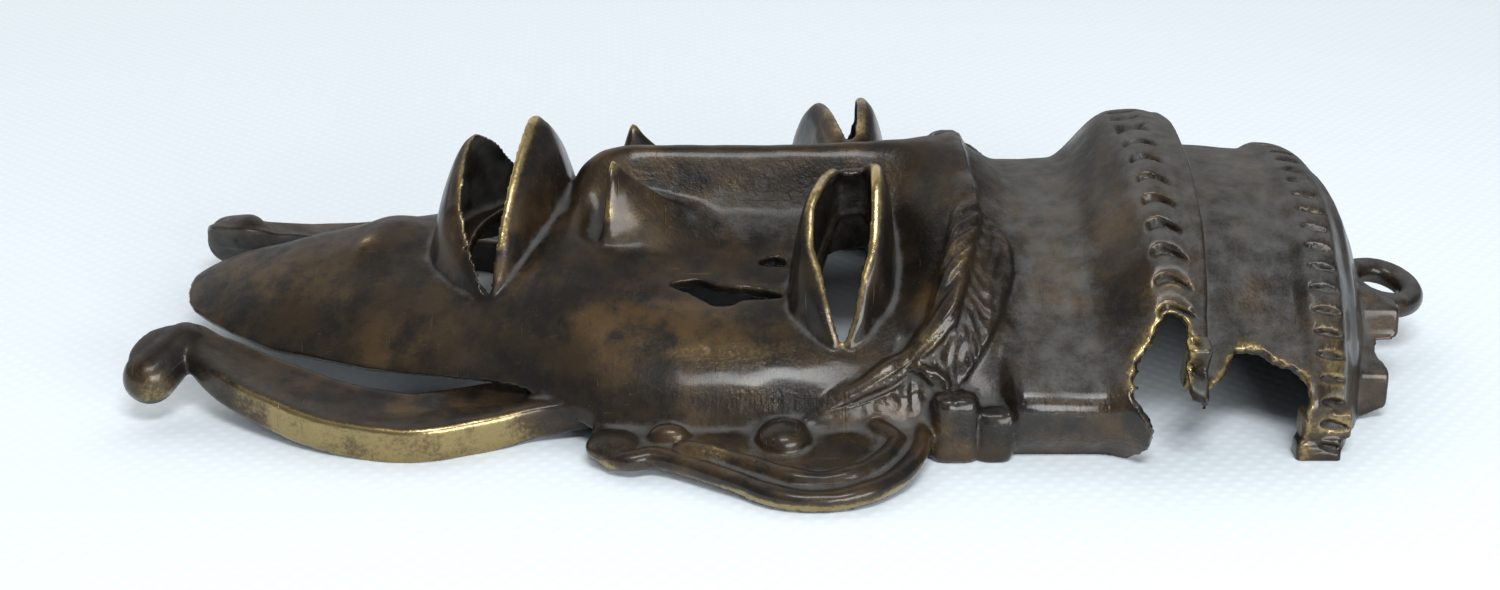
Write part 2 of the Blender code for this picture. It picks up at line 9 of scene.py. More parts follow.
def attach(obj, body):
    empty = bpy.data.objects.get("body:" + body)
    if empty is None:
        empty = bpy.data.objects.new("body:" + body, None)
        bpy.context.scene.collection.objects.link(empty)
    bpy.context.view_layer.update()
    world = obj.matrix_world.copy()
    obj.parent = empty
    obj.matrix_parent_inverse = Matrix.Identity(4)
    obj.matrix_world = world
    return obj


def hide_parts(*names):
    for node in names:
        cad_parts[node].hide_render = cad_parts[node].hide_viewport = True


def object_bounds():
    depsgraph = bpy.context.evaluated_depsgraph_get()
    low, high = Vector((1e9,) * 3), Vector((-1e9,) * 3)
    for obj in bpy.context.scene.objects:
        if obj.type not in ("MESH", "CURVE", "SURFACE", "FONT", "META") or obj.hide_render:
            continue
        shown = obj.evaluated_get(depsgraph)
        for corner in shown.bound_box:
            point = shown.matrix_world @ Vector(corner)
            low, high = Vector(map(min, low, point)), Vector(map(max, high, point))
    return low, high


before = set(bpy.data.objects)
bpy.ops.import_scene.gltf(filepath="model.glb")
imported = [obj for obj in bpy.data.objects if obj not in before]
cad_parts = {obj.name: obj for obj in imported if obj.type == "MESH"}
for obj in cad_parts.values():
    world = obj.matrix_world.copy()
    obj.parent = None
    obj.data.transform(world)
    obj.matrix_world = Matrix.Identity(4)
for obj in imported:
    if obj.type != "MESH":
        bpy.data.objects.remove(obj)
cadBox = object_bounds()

# Bronze hanging mask on its back: chin to -X, cap and ring to +X, face up. Forms are drawn in millimetres.
mm = 0.001
grain = 0.43  # finest form kept in the cast skin
mostFaces = 193000


# small helpers kept by every piece

def ramp(value, low, high):
    t = np.clip((value - low) / (high - low), 0, 1)
    return t * t * (3 - 2 * t)


def hump(x, middle, reach, y=0.0, middleY=0.0, reachY=1.0):
    # 1 at the middle, falling away over the reach, in one or two directions
    return np.exp(-((x - middle) / reach) ** 2 - ((y - middleY) / reachY) ** 2)


def readCurve(table, at):
    # columns of a table along its first one, without overshoot between rows
    rows = table[np.argsort(table[:, 0])]
    x, y = rows[:, 0], rows[:, 1:]
    span = np.diff(x)[:, None]
    rise = np.diff(y, axis=0) / span
    slope = np.zeros_like(y)
    slope[0], slope[-1] = rise[0], rise[-1]
    before, after = rise[:-1], rise[1:]
    same = before * after > 0
    slope[1:-1][same] = 2 * before[same] * after[same] / (before[same] + after[same])
    at = np.clip(np.asarray(at, float), x[0], x[-1])
    cell = np.clip(np.searchsorted(x, at) - 1, 0, len(x) - 2)
    t = ((at - x[cell]) / (x[cell + 1] - x[cell]))[..., None]
    return ((1 + 2 * t) * (1 - t) ** 2 * y[cell] + t * (1 - t) ** 2 * span[cell] * slope[cell]
            + t * t * (3 - 2 * t) * y[cell + 1] - t * t * (1 - t) * span[cell] * slope[cell + 1])


def rowsBetween(table, count):
    # a table drawn out to this many rows
    steps = np.arange(len(table), dtype=float)
    return readCurve(np.column_stack((steps, table)), np.linspace(0, steps[-1], count))


def pick(*pieces):
    bpy.ops.object.select_all(action="DESELECT")
    for piece in pieces:
        piece.select_set(True)
    bpy.context.view_layer.objects.active = pieces[0]


def finishModifier(piece, kind, **settings):
    pick(piece)
    bpy.ops.object.modifier_add(type=kind)
    modifier = piece.modifiers[-1]
    for name, value in settings.items():
        setattr(modifier, name, value)
    bpy.ops.object.modifier_apply(modifier=modifier.name)


def pointsOf(piece):
    points = np.zeros(len(piece.data.vertices) * 3)
    piece.data.vertices.foreach_get("co", points)
    return points.reshape(-1, 3) / mm


def setPoints(piece, points):
    piece.data.vertices.foreach_set("co", (np.asarray(points) * mm).ravel())
    piece.data.update()


def meshPiece(name, points, faces):
    mesh = bpy.data.meshes.new(name)
    mesh.from_pydata((np.asarray(points, float).reshape(-1, 3) * mm).tolist(), [], faces)
    piece = bpy.data.objects.new(name, mesh)
    bpy.context.collection.objects.link(piece)
    return piece


def edgesOf(piece):
    edges = np.zeros(len(piece.data.edges) * 2, int)
    piece.data.edges.foreach_get("vertices", edges)
    return edges.reshape(-1, 2)


def inEditMode(piece, *steps):
    # each step is a mesh operator and its settings, used on the whole piece
    pick(piece)
    bpy.ops.object.mode_set(mode="EDIT")
    bpy.ops.mesh.select_all(action="SELECT")
    for step, settings in steps:
        step(**settings)
    bpy.ops.object.mode_set(mode="OBJECT")


def loft(name, rings):
    rings = np.asarray(rings)
    rows, sides = rings.shape[:2]
    corner = np.arange(rows * sides).reshape(rows, sides)
    beside = np.roll(corner, -1, axis=1)
    faces = np.stack((corner[:-1], corner[1:], beside[1:], beside[:-1]), axis=-1).reshape(-1, 4).tolist()
    piece = meshPiece(name, rings, faces + [corner[0].tolist(), corner[-1].tolist()])
    inEditMode(piece, (bpy.ops.mesh.remove_doubles, {"threshold": 0.00001}),
               (bpy.ops.mesh.normals_make_consistent, {"inside": False}))
    return piece


def sweep(name, path, section):
    # section(k) gives the outline at the k-th point, across and upwards
    path = np.asarray(path, float)
    heading = np.gradient(path, axis=0)
    rings = []
    for k, (point, along) in enumerate(zip(path, heading)):
        along = Vector(along).normalized()
        side = Vector((0, 0, 1)).cross(along).normalized()
        above = along.cross(side).normalized()
        rings.append([point + np.array(side) * a + np.array(above) * b for a, b in section(k)])
    return loft(name, rings)


def curveThrough(points, count):
    points = np.asarray(points, float)
    run = np.concatenate(([0], np.cumsum(np.linalg.norm(np.diff(points, axis=0), axis=1))))
    smoothRun = np.linspace(0, run[-1], count)
    before = np.vstack((2 * points[0] - points[1], points, 2 * points[-1] - points[-2]))
    cell = np.clip(np.searchsorted(run, smoothRun) - 1, 0, len(points) - 2)
    t = ((smoothRun - run[cell]) / (run[cell + 1] - run[cell]))[:, None]
    a, b, c, d = before[cell], before[cell + 1], before[cell + 2], before[cell + 3]
    return 0.5 * (2 * b + (c - a) * t + (2 * a - 5 * b + 4 * c - d) * t ** 2 + (3 * b - a - 3 * c + d) * t ** 3)


def insideOutline(across, along, outline):
    inside = np.zeros(np.shape(across), bool)
    for (x0, y0), (x1, y1) in zip(outline, np.roll(outline, -1, axis=0)):
        if y0 != y1:
            inside ^= ((along > y0) != (along > y1)) & (across < (x1 - x0) * (along - y0) / (y1 - y0) + x0)
    return inside


def nearestOn(outline, points):
    closed = np.vstack((outline, outline[:1]))
    dense = np.concatenate([np.linspace(a, b, 12, endpoint=False) for a, b in zip(closed[:-1], closed[1:])])
    gaps = np.linalg.norm(points[:, None] - dense[None], axis=2)
    return dense[gaps.argmin(1)], gaps.min(1)


def wander(points, size, seed, octaves=1):
    # smooth noise over points, about -1 to 1
    total = np.zeros(len(points))
    turned = points @ np.array(Euler((0.7, 0.45, 1.1)).to_matrix())
    for octave in range(octaves):
        scaled = turned / size * 2 ** octave + seed * 17.3
        total += np.array([noise.noise(p) for p in map(Vector, scaled)]) / 2 ** octave
    return total


# shell of the face, chin and cap

casting = {
    "wall": 2.2,
    "edgeWall": 0.8,      # share of the wall left along the broken edge
    "chinSkew": 4.2,      # how far the tip of the chin bends to +Y
    "chinTip": (-94.0, -114.0),
    "alongSteps": int(268 / grain),
    "roundSteps": int(136 / grain),
}
# place along, half width, crown height, edge height, squareness across, squareness upwards
shellRows = np.array((
    (-115.4, 4, 11.4, 10.2, 2, 1), (-114.2, 8, 12.2, 9.8, 2, 1), (-110.5, 12.4, 14.2, 9.2, 2, 1),
    (-104, 16.4, 17.2, 8.6, 2, 1), (-96, 20, 19.8, 8.2, 2, 1), (-88, 23.6, 21.6, 8.4, 2, 1),
    (-78, 28.6, 23, 8.8, 2, 1), (-68, 32.4, 23.8, 9.2, 2, 1.1), (-59, 34.8, 24.6, 9.4, 2, 1.2),
    (-50, 36.6, 27.4, 8.8, 2, 1.4), (-41, 40, 30.6, 5.6, 2, 1.7), (-33, 44.4, 28.4, 3.4, 2.1, 1.8),
    (-18, 46.5, 24.8, 2, 2.5, 2.2), (0, 46.5, 24.4, 1.4, 2.5, 2.3), (16, 46, 26.2, 0.4, 2.4, 2.2),
    (28, 45.5, 36.6, -1, 2.1, 2), (34, 45.5, 35.2, -1, 2, 2), (38, 45.5, 34, -1, 2, 2),
    (48, 45.5, 34.2, -1, 2, 2), (56, 45.5, 36, -1, 2, 2), (64, 45.5, 37.2, -1, 2, 2),
    (72, 45.2, 37.2, -1, 2, 2), (86, 44.6, 36.4, -1, 2, 2), (90, 44.2, 36.3, -1, 2, 2),
    (93.8, 42.8, 35.4, -1, 2, 2), (96.4, 38.6, 34, -1, 2, 2), (99, 33.8, 31.4, -1, 2, 2),
    (101.2, 28.6, 27.4, -1, 2, 2), (103, 23, 22.8, -1, 2, 2), (104.8, 16.5, 17.4, -1, 2, 2),
    (105.6, 11.5, 10, -1, 2, 2), (106, 7, 0.4, -1, 2, 2),
))


def faceHeight(x, y):
    half, crown, edge, across, up = np.moveaxis(readCurve(shellRows, x), -1, 0)
    inside = np.clip(1 - np.abs(y / half) ** across, 0, 1)
    return edge + (crown - edge) * inside ** (1 / up)


nose = {
    # place along, height of the ridge, half width of its wall
    "ridge": np.array((
        (-42.2, 30.6, 4), (-40.6, 34.2, 4.2), (-38.6, 37, 4.4), (-35, 39.4, 4.6), (-29, 40.4, 4.8),
        (-8, 40.2, 5), (12, 41, 5.6), (24, 41.4, 8), (29, 41.4, 10.5), (33, 38, 13),
        (39, 34, 15))),
    "wallShape": 2.3,
    "ridgeEnds": ((-43.0, -41.0), (41.0, 36.0)),   # where the ridge rises from the face and sinks again
    "wingRise": 11.3,     # the flared wings of the nose
    "wingFront": -32.3,
    "wingSlant": 0.15,
    "wingReach": 20.0,
    "wingFoot": (-4.5, -1.2),    # how far their front slopes, +Y wing and -Y wing
    "wingMiddle": 9.4,    # from the middle line, then the widths outside and inside of it
    "wingWidths": (8.6, 4.8),
    "wingRim": 0.9,
    "nostril": 2.4,
}


def noseRelief(x, y):
    top, half = np.moveaxis(readCurve(nose["ridge"], x), -1, 0)
    base = faceHeight(x, 0 * y)
    ridge = np.maximum(top - base, 0) / (1 + np.abs(y / half) ** nose["wallShape"])
    start, end = nose["ridgeEnds"]
    ridge = ridge * ramp(x, *start) * ramp(x, *end)
    back = x - nose["wingSlant"] * y - nose["wingFront"]
    front = np.where(y > 0, *nose["wingFoot"])
    lean = nose["wingRise"] * np.clip(1 - back / nose["wingReach"], 0, 1) ** 1.15 * ramp(back, front, 0.2)
    rim = nose["wingRim"] * hump(back, 0.9, 1.1)
    aside, (outside, inside) = np.abs(y) - nose["wingMiddle"], nose["wingWidths"]
    level = np.clip(1 - np.where(aside > 0, aside / outside, -aside / inside), 0, 1)
    wing = (lean + rim) * level * level * (3 - 2 * level)
    return ridge, wing - nose["nostril"] * hump(back, -2.8, 2.0, np.abs(y), 10.0, 4.5)


brow = {
    "cord": 3.0,
    "band": 0.9,
    "twist": 0.40,        # depth of the turns on the cord
    "tailThins": 0.42,
    "secondTail": 1.3,    # a short branch beside the foot of the cord
    "thinLine": 0.35,     # along the edge of the band
    # how far round the arch (0 at the crown, 1 at its foot), place along the mask
    "line": np.array((
        (0, 29.5), (0.3, 30.2), (0.43, 29.8), (0.55, 28.5), (0.65, 27), (0.74, 25.8), (0.8, 24.2),
        (0.85, 20.5), (0.89, 15.8), (0.93, 10.5), (0.96, 4), (1, -6))),
    "bandEdge": np.array((
        (0, 31), (0.35, 32.4), (0.41, 35), (0.5, 37.7), (0.6, 37.9), (0.7, 36.6), (0.8, 34.4),
        (0.87, 32), (0.93, 28.8), (1, 24))),
}


def overArch(table, phi):
    return readCurve(table, np.abs(np.cos(phi)))[..., 0]


def browRelief(x, phi):
    line = overArch(brow["line"], phi)
    lean = np.hypot(1, (overArch(brow["line"], phi + 0.03) - line) / 0.03 / 42)
    beside = (x - line) / lean
    down = np.abs(np.cos(phi))
    radius = brow["cord"] * (1 - brow["tailThins"] * ramp(down, 0.80, 0.97)) + 0.12 * np.sin(down * 31)
    cord = radius * np.sqrt(np.clip(1 - (beside / radius) ** 2, 0, 1))
    cord = cord * ramp(x, 0.0, 12.0)
    branch = 20.5 + 9.0 * (down - 0.90) / 0.08
    second = brow["secondTail"] * np.sqrt(np.clip(1 - ((x - branch) / 2.0) ** 2, 0, 1))
    cord = np.maximum(cord, second * ramp(down, 0.86, 0.89) * ramp(down, 0.985, 0.95))
    behind = ramp(beside, 0.0, 2.0)
    edge = overArch(brow["bandEdge"], phi) - x
    band = brow["band"] * behind * ramp(edge, 0.0, 0.7)
    return cord, band + brow["thinLine"] * hump(edge, 0.5, 0.5) * behind


crests = {
    "frontLine": (59.3, 3.2),    # place at the crown, how much further back at the foot
    "ledge": (70.8, 2.4),        # where it drops to the cap, how much further forward at the foot
    "frontRise": 7.0,
    "ledgeLine": 0.35,
    "backLine": 89.2,
    "backRise": 1.3,
    "endLine": (98.6, 0.35),     # thin line round the end of the cap
    "cutDepth": 1.7,
    "frontCuts": 28,      # over the whole arch
    "backCuts": 32,
    "frontCutLength": 5.6,
    "backCutLength": 5.2,
}


def combOf(phi, count, jitter):
    # distance from the nearest of a row of cuts round the arch, in steps of the row
    turn = phi / math.pi * count
    which = np.round(turn)
    return np.abs(turn - which + jitter * np.sin(which * 12.9898))


def crestLine(phi):
    place, further = crests["frontLine"]
    return place + further * np.abs(np.cos(phi)) ** 1.3


def crestRelief(x, phi):
    line = crestLine(phi)
    ledge = crests["ledge"][0] - crests["ledge"][1] * np.cos(phi) ** 6 - x
    lowSide = 0.62 + 0.38 * np.sin(phi)
    plateau = 1 - 0.22 * np.clip((x - line - 5.0) / 6.0, 0, 1) ** 1.4
    front = crests["frontRise"] * lowSide * plateau * ramp(x - line, -11.0, 0.3) * ramp(ledge, 0.0, 0.8)
    front = front + crests["ledgeLine"] * hump(ledge, 1.0, 0.8)
    beyond = x - crests["backLine"]
    back = crests["backRise"] * ramp(beyond, -3.6, -0.4) * ramp(beyond, 8.0, 4.0)
    place, rise = crests["endLine"]
    return front + back + (rise * hump(x, place, 1.0) - 0.3 * ramp(x, place + 0.2, place + 1.4))


def crestCuts(x, phi):
    # narrow wedges pointing to the cap on the front crest, short ones on the back one
    cos = np.cos(phi)
    along = x - crestLine(phi)
    bend = 0.013 * along * cos * np.abs(np.sin(phi)) ** 4 + 0.0034 * (along - 2.0) ** 2 * np.sign(cos)
    share = along / crests["frontCutLength"]
    beside = combOf(phi + bend, crests["frontCuts"], 0.06)
    width = 0.12 + 0.10 * np.clip(1.0 - share, 0, 1)
    wedge = 0.78 * np.clip(1 - beside / width, 0, 1) + 0.22 * hump(beside, 0.0, 0.25)
    wedge = wedge * ramp(share, -0.18, 0.02) * ramp(share, 1.05, 0.75)
    along = x - crests["backLine"]
    share = np.abs(along / crests["backCutLength"] * 2 - 0.85)
    beside = combOf(phi + 0.006 * along * cos, crests["backCuts"], 0.05)
    notch = np.clip(1 - beside / (0.10 + 0.16 * np.clip(1.1 - share, 0, 1)), 0, 1) * ramp(share, 1.15, 0.7)
    return crests["cutDepth"] * (wedge + 0.75 * notch)


softForms = {
    "nub": 2.6,           # on the chin, with a small point on it
    "nubPoint": 1.4,
    "hemRoll": 5.2,
    "hemPlace": (8.8, 6.4),      # height and reach
    "hemWaist": 1.2,      # how far the wall draws in above the hem and under it
    "hemEnds": ((33.5, 38.0), (96.0, 84.0)),
    "browHollow": 1.3,    # beside the foot of the brow cord
}


def formRelief(x, y, z, phi):
    ridge, wing = noseRelief(x, y)
    cord, band = browRelief(x, phi)
    nub = softForms["nub"] * hump(x, -75, 7.0, y, 0.0, 6.5)
    nub = nub + softForms["nubPoint"] * hump(x, -79.4, 2.5, y, -6.6, 2.7)
    waist, (start, end) = softForms["hemWaist"], softForms["hemEnds"]
    roll = softForms["hemRoll"] * hump(z, *softForms["hemPlace"]) - waist * hump(z, 23.0, 5.5)
    hem = (roll - waist * ramp(z, 3.5, -1.0)) * ramp(x, *start) * ramp(x, *end)
    hollow = softForms["browHollow"] * hump(x, 18.6, 2.2, z, 15.6, 3.2)
    return np.maximum(ridge, cord) + wing + nub + band + crestRelief(x, phi) + hem - hollow


# eyes and mouth: pairs of standing leaves round an opening

eyes = {
    # distance from the middle line, outer edges of the lower and upper rim, heights of the rims
    "lids": np.array((
        (7.4, 7.2, 12.8, 38.4, 38.8), (8.4, 6.1, 13.9, 39, 39.4), (13, 4.7, 14.6, 40.2, 41.6),
        (18, 3.4, 14.9, 41, 43), (22.5, 2.3, 14.7, 40.8, 42), (26.5, 1.1, 14.4, 38.3, 37.4),
        (30, 1.2, 13.6, 34, 33), (33, 2.8, 12, 29.5, 28.6), (35.5, 4.2, 10.9, 24.8, 24.2),
        (38.2, 6.4, 8.6, 18, 18))),
    "flare": (3.3, 5.4),  # how far the lids spread towards their foot, -Y eye and +Y eye
    "rim": 2.2,
    "foot": 2.8,
    "farShift": (1.9, -0.7),   # the +Y eye is narrower: how far its two lids are moved along
}
mouth = {
    # distance across, lower lip, upper lip, heights of their rims
    "lips": np.array((
        (-24.5, -54.9, -53.9, 18.6, 18.6), (-21.5, -57, -53.1, 22.8, 23.8), (-17, -59.7, -51.7, 28.8, 30.8),
        (-12, -61.2, -50.2, 34.4, 37.2), (-6, -61, -48.6, 39.4, 42.4), (1, -59.9, -47, 42, 45.6),
        (7, -57.6, -46.2, 38.8, 42.4), (12, -55.6, -45.9, 34.4, 37.6), (17, -53.4, -46, 28.8, 31),
        (21.5, -51.7, -47, 22.8, 24), (24.5, -50.2, -49.2, 18.6, 18.6))),
    "lowerFlare": 6.8,
    "upperFlare": 6.2,
    "lowerRim": 1.05,
    "upperRim": 2.1,
    "foot": 2.4,
    "prow": 1.6,          # how far the middle of the upper lip stands forward
}


def inwardOf(line):
    # level direction across the wall, towards the opening
    along = np.gradient(line[:, :2], axis=0)
    for _ in range(6):
        along[1:-1] = (along[:-2] + along[1:-1] * 2 + along[2:]) / 4
    across = np.column_stack((-along[:, 1], along[:, 0]))
    across /= np.linalg.norm(across, axis=1)[:, None]
    facing = ((line[:, :2].mean(0) - line[:, :2]) * across).sum(1).mean()
    return across * (1 if facing > 0 else -1)


def eyeLine(side):
    # from the outer corner along the lower lid, round the inner corner and back along the upper lid
    y = np.linspace(eyes["lids"][-1, 0], eyes["lids"][0, 0], int(60 / grain))
    lower, upper, lowRim, highRim = readCurve(eyes["lids"], y).T
    if side > 0:
        lower, upper = lower + eyes["farShift"][0], upper + eyes["farShift"][1]
    turn = np.linspace(0, 1, 12)[1:-1, None]
    ends = np.array(((lower[-1], y[-1] - 0.5, lowRim[-1]), (upper[-1], y[-1] - 0.5, highRim[-1])))
    corner = ends[0] * (1 - turn) + ends[1] * turn
    there = np.column_stack((lower, y, lowRim))
    back = np.column_stack((upper, y, highRim))[::-1]
    line = np.concatenate((there, corner, back)) * (1, side, 1)
    return line, inwardOf(line)


def mouthLines():
    y = np.linspace(mouth["lips"][0, 0], mouth["lips"][-1, 0], int(70 / grain))
    lower, upper, lowRim, highRim = readCurve(mouth["lips"], y).T
    return np.column_stack((lower, y, lowRim)), np.column_stack((upper, y, highRim))


def leaf(name, line, inward, flare, rim, foot, prow=0.0):
    # a wall along a rim line, thin and rounded at the rim, spreading where it meets the face
    spread = np.linspace(0, 1, 26) ** 1.5
    turn = np.linspace(0, math.pi, 9)[1:-1]
    share = 1 - 0.45 * np.abs(np.linspace(-1, 1, len(line))) ** 3
    rings = []
    for (x, y, z), across, part in zip(line, inward, share):
        top = rim * part
        across3 = np.array((across[0], across[1], 0.0))
        place = np.array((x, y, z))
        base = faceHeight(x, y) - 3.2
        drop = max(z - base, 1.0)
        reach = (flare + prow * (np.exp(-abs(y) / 5.0) - 0.35)) * min(drop / 16.0, 1.0)
        down = 0.45 * top + (drop - 0.45 * top) * spread
        outer = [place - across3 * reach * v ** 0.55 - (0, 0, d) for v, d in zip(spread, down)]
        widths = top + (foot * part - top) * ramp(spread, 0.0, 0.5)
        inner = [point + across3 * w for point, w in zip(outer, widths)]
        dome = [place + across3 * top * (0.5 + 0.5 * math.cos(t)) - (0, 0, 0.45 * top * (1 - math.sin(t)))
                for t in turn]
        rings.append(outer + inner[::-1] + dome)
    return loft(name, rings)


def makeLeaves():
    made = [leaf("lid", *eyeLine(side), eyes["flare"][side > 0], eyes["rim"], eyes["foot"])
            for side in (1, -1)]
    lower, upper = mouthLines()
    forward, foot = np.tile((1.0, 0.0), (len(lower), 1)), mouth["foot"]
    made.append(leaf("lip", lower, forward, mouth["lowerFlare"], mouth["lowerRim"], foot))
    made.append(leaf("lip", upper, -forward, mouth["upperFlare"], mouth["upperRim"], foot, mouth["prow"]))
    return made


# what is broken or missing

damage = {
    # broken edge of the cap on the -Y side, in side view
    "break": ((54.0, -3.0), (56.8, 0.6), (58.6, 3.4), (58.9, 7.0), (57.6, 10.6), (56.0, 13.0), (55.9, 15.4),
              (56.8, 17.8), (58.5, 20), (60.6, 23), (62.4, 24.8), (64.8, 24.6), (65.9, 22.4), (65.2, 18.4),
              (65.2, 15.2), (67.2, 13.8), (70.2, 13.9), (72.6, 15.4), (74.8, 17.4), (78.6, 17.6), (82.6, 16),
              (86.2, 14.4), (86.4, 8.6), (86.8, -3)),
    # casting holes in the -Y cheek, in plan
    "longHole": ((-23.0, -24.7), (-20.6, -23.5), (-17.4, -23.0), (-13.8, -24.4), (-10.3, -24.8), (-5.8, -25.4),
                 (-2.3, -26.9), (-5, -27.8), (-9.4, -28.1), (-12, -29.4), (-14.6, -29.4), (-17.3, -27.6),
                 (-20.2, -26)),
    "smallHole": ((-7.4, -17.9), (-4.8, -16.3), (-2.4, -16.1), (-2.6, -18.6)),
    "jagged": 0.16,       # unevenness of the broken edge
    "behind": -26.0,      # the break cuts only what lies further to -Y
    "thinned": (50, 92),  # where the wall thins towards the broken edge
    "eyeInset": 1.2,
    "mouthInset": 1.3,
}


def openings():
    # outline, the columns of a point that it is drawn in, and the side it stays on
    plan, sideView = (0, 1), (0, 2)
    found = []
    for side in (1, -1):
        line, inward = eyeLine(side)
        found.append((line[:, :2] + inward * damage["eyeInset"], plan, None))
    lower, upper = mouthLines()
    gap = np.minimum(damage["mouthInset"], (upper[:, 0] - lower[:, 0]) * 0.4)[:, None] * (1, 0)
    found.append((np.concatenate((lower[:, :2] + gap, (upper[:, :2] - gap)[::-1])), plan, None))
    for name in ("longHole", "smallHole"):
        found.append((curveThrough(damage[name] + damage[name][:1], 90)[:-1], plan, None))
    outline, steps = curveThrough(damage["break"], 220), np.arange(220)
    outline = outline + damage["jagged"] * np.column_stack((np.sin(steps * 0.9), np.cos(steps * 1.31)))
    found.append((np.vstack((outline, (86.8, -9.0), (54.0, -9.0))), sideView, damage["behind"]))
    return found


def makeShell():
    run = np.concatenate(([0], np.cumsum(np.hypot(*np.diff(shellRows[:, [0, 2]], axis=0).T))))
    rows = readCurve(np.column_stack((run, shellRows)), np.linspace(0, run[-1], casting["alongSteps"]))
    x, half, crown, edge, across, up = (column[:, None] for column in rows.T)
    turn = np.linspace(0, 1, casting["roundSteps"])[None, :]
    phi = math.pi * (turn - 0.045 * np.sin(4 * math.pi * turn) / 2)
    cos = np.cos(phi)
    arch = np.maximum(1 - np.abs(cos) ** across, 1e-6)
    y, z = half * cos, edge + (crown - edge) * arch ** (1 / up)
    x, phi = x + 0 * y, phi + 0 * y
    outY = across * np.sign(cos) * np.abs(cos) ** (across - 1) / half
    outZ = up * np.maximum(arch ** ((up - 1) / up), 0.02) / np.maximum(crown - edge, 1)
    size = np.hypot(outY, outZ)
    rise = formRelief(x, y, z, phi)
    y = y + rise * outY / size + casting["chinSkew"] * ramp(x, *casting["chinTip"])
    points = np.stack((x, y, z + rise * outZ / size), axis=-1)
    middles = (points[:-1, :-1] + points[1:, :-1] + points[1:, 1:] + points[:-1, 1:]) / 4
    gone = np.zeros(middles.shape[:2], bool)
    flat = points.reshape(-1, 3)
    thin = np.ones(len(flat))
    corner = np.arange(flat.shape[0]).reshape(points.shape[:2])
    quads = np.stack((corner[:-1, :-1], corner[1:, :-1], corner[1:, 1:], corner[:-1, 1:]), axis=-1)
    for outline, columns, limit in openings():
        cut = insideOutline(middles[..., columns[0]], middles[..., columns[1]], outline)
        if limit is not None:
            cut &= middles[..., 1] < limit
        gone |= cut
        # the grid's corners beside the opening are drawn onto its outline
        rimPoints = np.intersect1d(np.unique(quads[cut]), np.unique(quads[~gone]))
        place, gap = nearestOn(outline, flat[rimPoints][:, columns])
        near = gap < 1.2 * grain + 0.3
        flat[rimPoints[near, None], np.array(columns)[None]] = place[near]
        if limit is not None:
            start, end = damage["thinned"]
            close = np.where((flat[:, 0] > start) & (flat[:, 0] < end) & (flat[:, 1] < limit))[0]
            _, reach = nearestOn(outline[::3], flat[close][:, columns])
            share = casting["edgeWall"] + (1 - casting["edgeWall"]) * ramp(reach, 0.5, 4.0)
            thin[close] = np.minimum(thin[close], share)
    shell = meshPiece("mask", flat, quads[~gone].tolist())
    wall, thin = shell.vertex_groups.new(name="wall"), np.round(thin, 1)
    for share in np.unique(thin):
        wall.add(np.where(thin == share)[0].tolist(), float(share), "REPLACE")
    inEditMode(shell, (bpy.ops.mesh.delete_loose, {}))
    if shell.data.polygons[len(shell.data.polygons) // 2].normal.z < 0:
        shell.data.flip_normals()
    finishModifier(shell, "SOLIDIFY", thickness=casting["wall"] * mm, offset=-1, vertex_group="wall",
                   thickness_vertex_group=0.0)
    return shell


# bars along the chin

bars = {
    # middle of the bar, then its breadth and thickness
    "line": np.array((
        (-30, 35, 6, 9, 6), (-45, 35.6, 4.2, 11.5, 6.6), (-57, 39, 3.2, 13.4, 7.4),
        (-67, 41.8, 3, 13.8, 7.6), (-78, 40.2, 3.7, 13.2, 7.4), (-89, 35.8, 5.4, 12.4, 7),
        (-98, 31.2, 7.4, 11.2, 6.6), (-104.6, 27.6, 10, 9.4, 6.4), (-109.2, 25.8, 12.2, 8, 6.2),
        (-112.6, 26.8, 12, 7.4, 6.2), (-114.6, 29.6, 10, 7.4, 6.6), (-114.5, 32, 8.2, 7, 6.6))),
    "knob": 4.7,
    "finger": ((-109.2, 25.9, 12.2), (-114.4, 32.0, 8.4)),
    "lip": 0.75,          # raised outer edge of the top face
}


def superOval(breadth, thick, sides, squareness):
    turn = np.linspace(0, 2 * math.pi, sides, endpoint=False)
    cos, sin = np.cos(turn), np.sin(turn)
    return np.column_stack((breadth / 2 * np.sign(cos) * np.abs(cos) ** (2 / squareness),
                            thick / 2 * np.sign(sin) * np.abs(sin) ** (2 / squareness)))


def ball(name, place, radii):
    bpy.ops.mesh.primitive_uv_sphere_add(segments=40, ring_count=24, radius=1, location=Vector(place) * mm)
    piece = bpy.context.object
    piece.name = name
    piece.scale = Vector(radii) * mm
    bpy.ops.object.transform_apply(location=True, rotation=True, scale=True)
    return piece


def makeBars():
    made = []
    for side in (1, -1):
        rows = rowsBetween(bars["line"], int(90 / grain))
        path = rows[:, :3] * (1, side, 1)

        def section(k):
            breadth, thick = rows[k, 3:5]
            outline = superOval(breadth, thick, 48, 7.0 - 4.6 * ramp(-rows[k, 0], 98.0, 107.0))
            outer = -side * outline[:, 0] / (breadth / 2)   # towards the outside of the mask
            lip = bars["lip"] * ramp(-outer, 0.55, 0.95) * (outline[:, 1] > 0)
            hollow = 0.5 * np.exp(-((outline[:, 0] / breadth * 3.2) ** 2)) * (outline[:, 1] > 0)
            outline[:, 1] += (lip - hollow) * ramp(rows[k, 0], -40.0, -55.0)
            return outline

        made.append(sweep("bar", path, section))
        start, end = (np.array(point) * (1, side, 1) for point in bars["finger"])
        for share in np.linspace(0, 1, 9):
            radius = bars["knob"] * (0.82 + 0.18 * share)
            made.append(ball("knob", start * (1 - share) + end * share, (radius,) * 3))
    return made


# ears

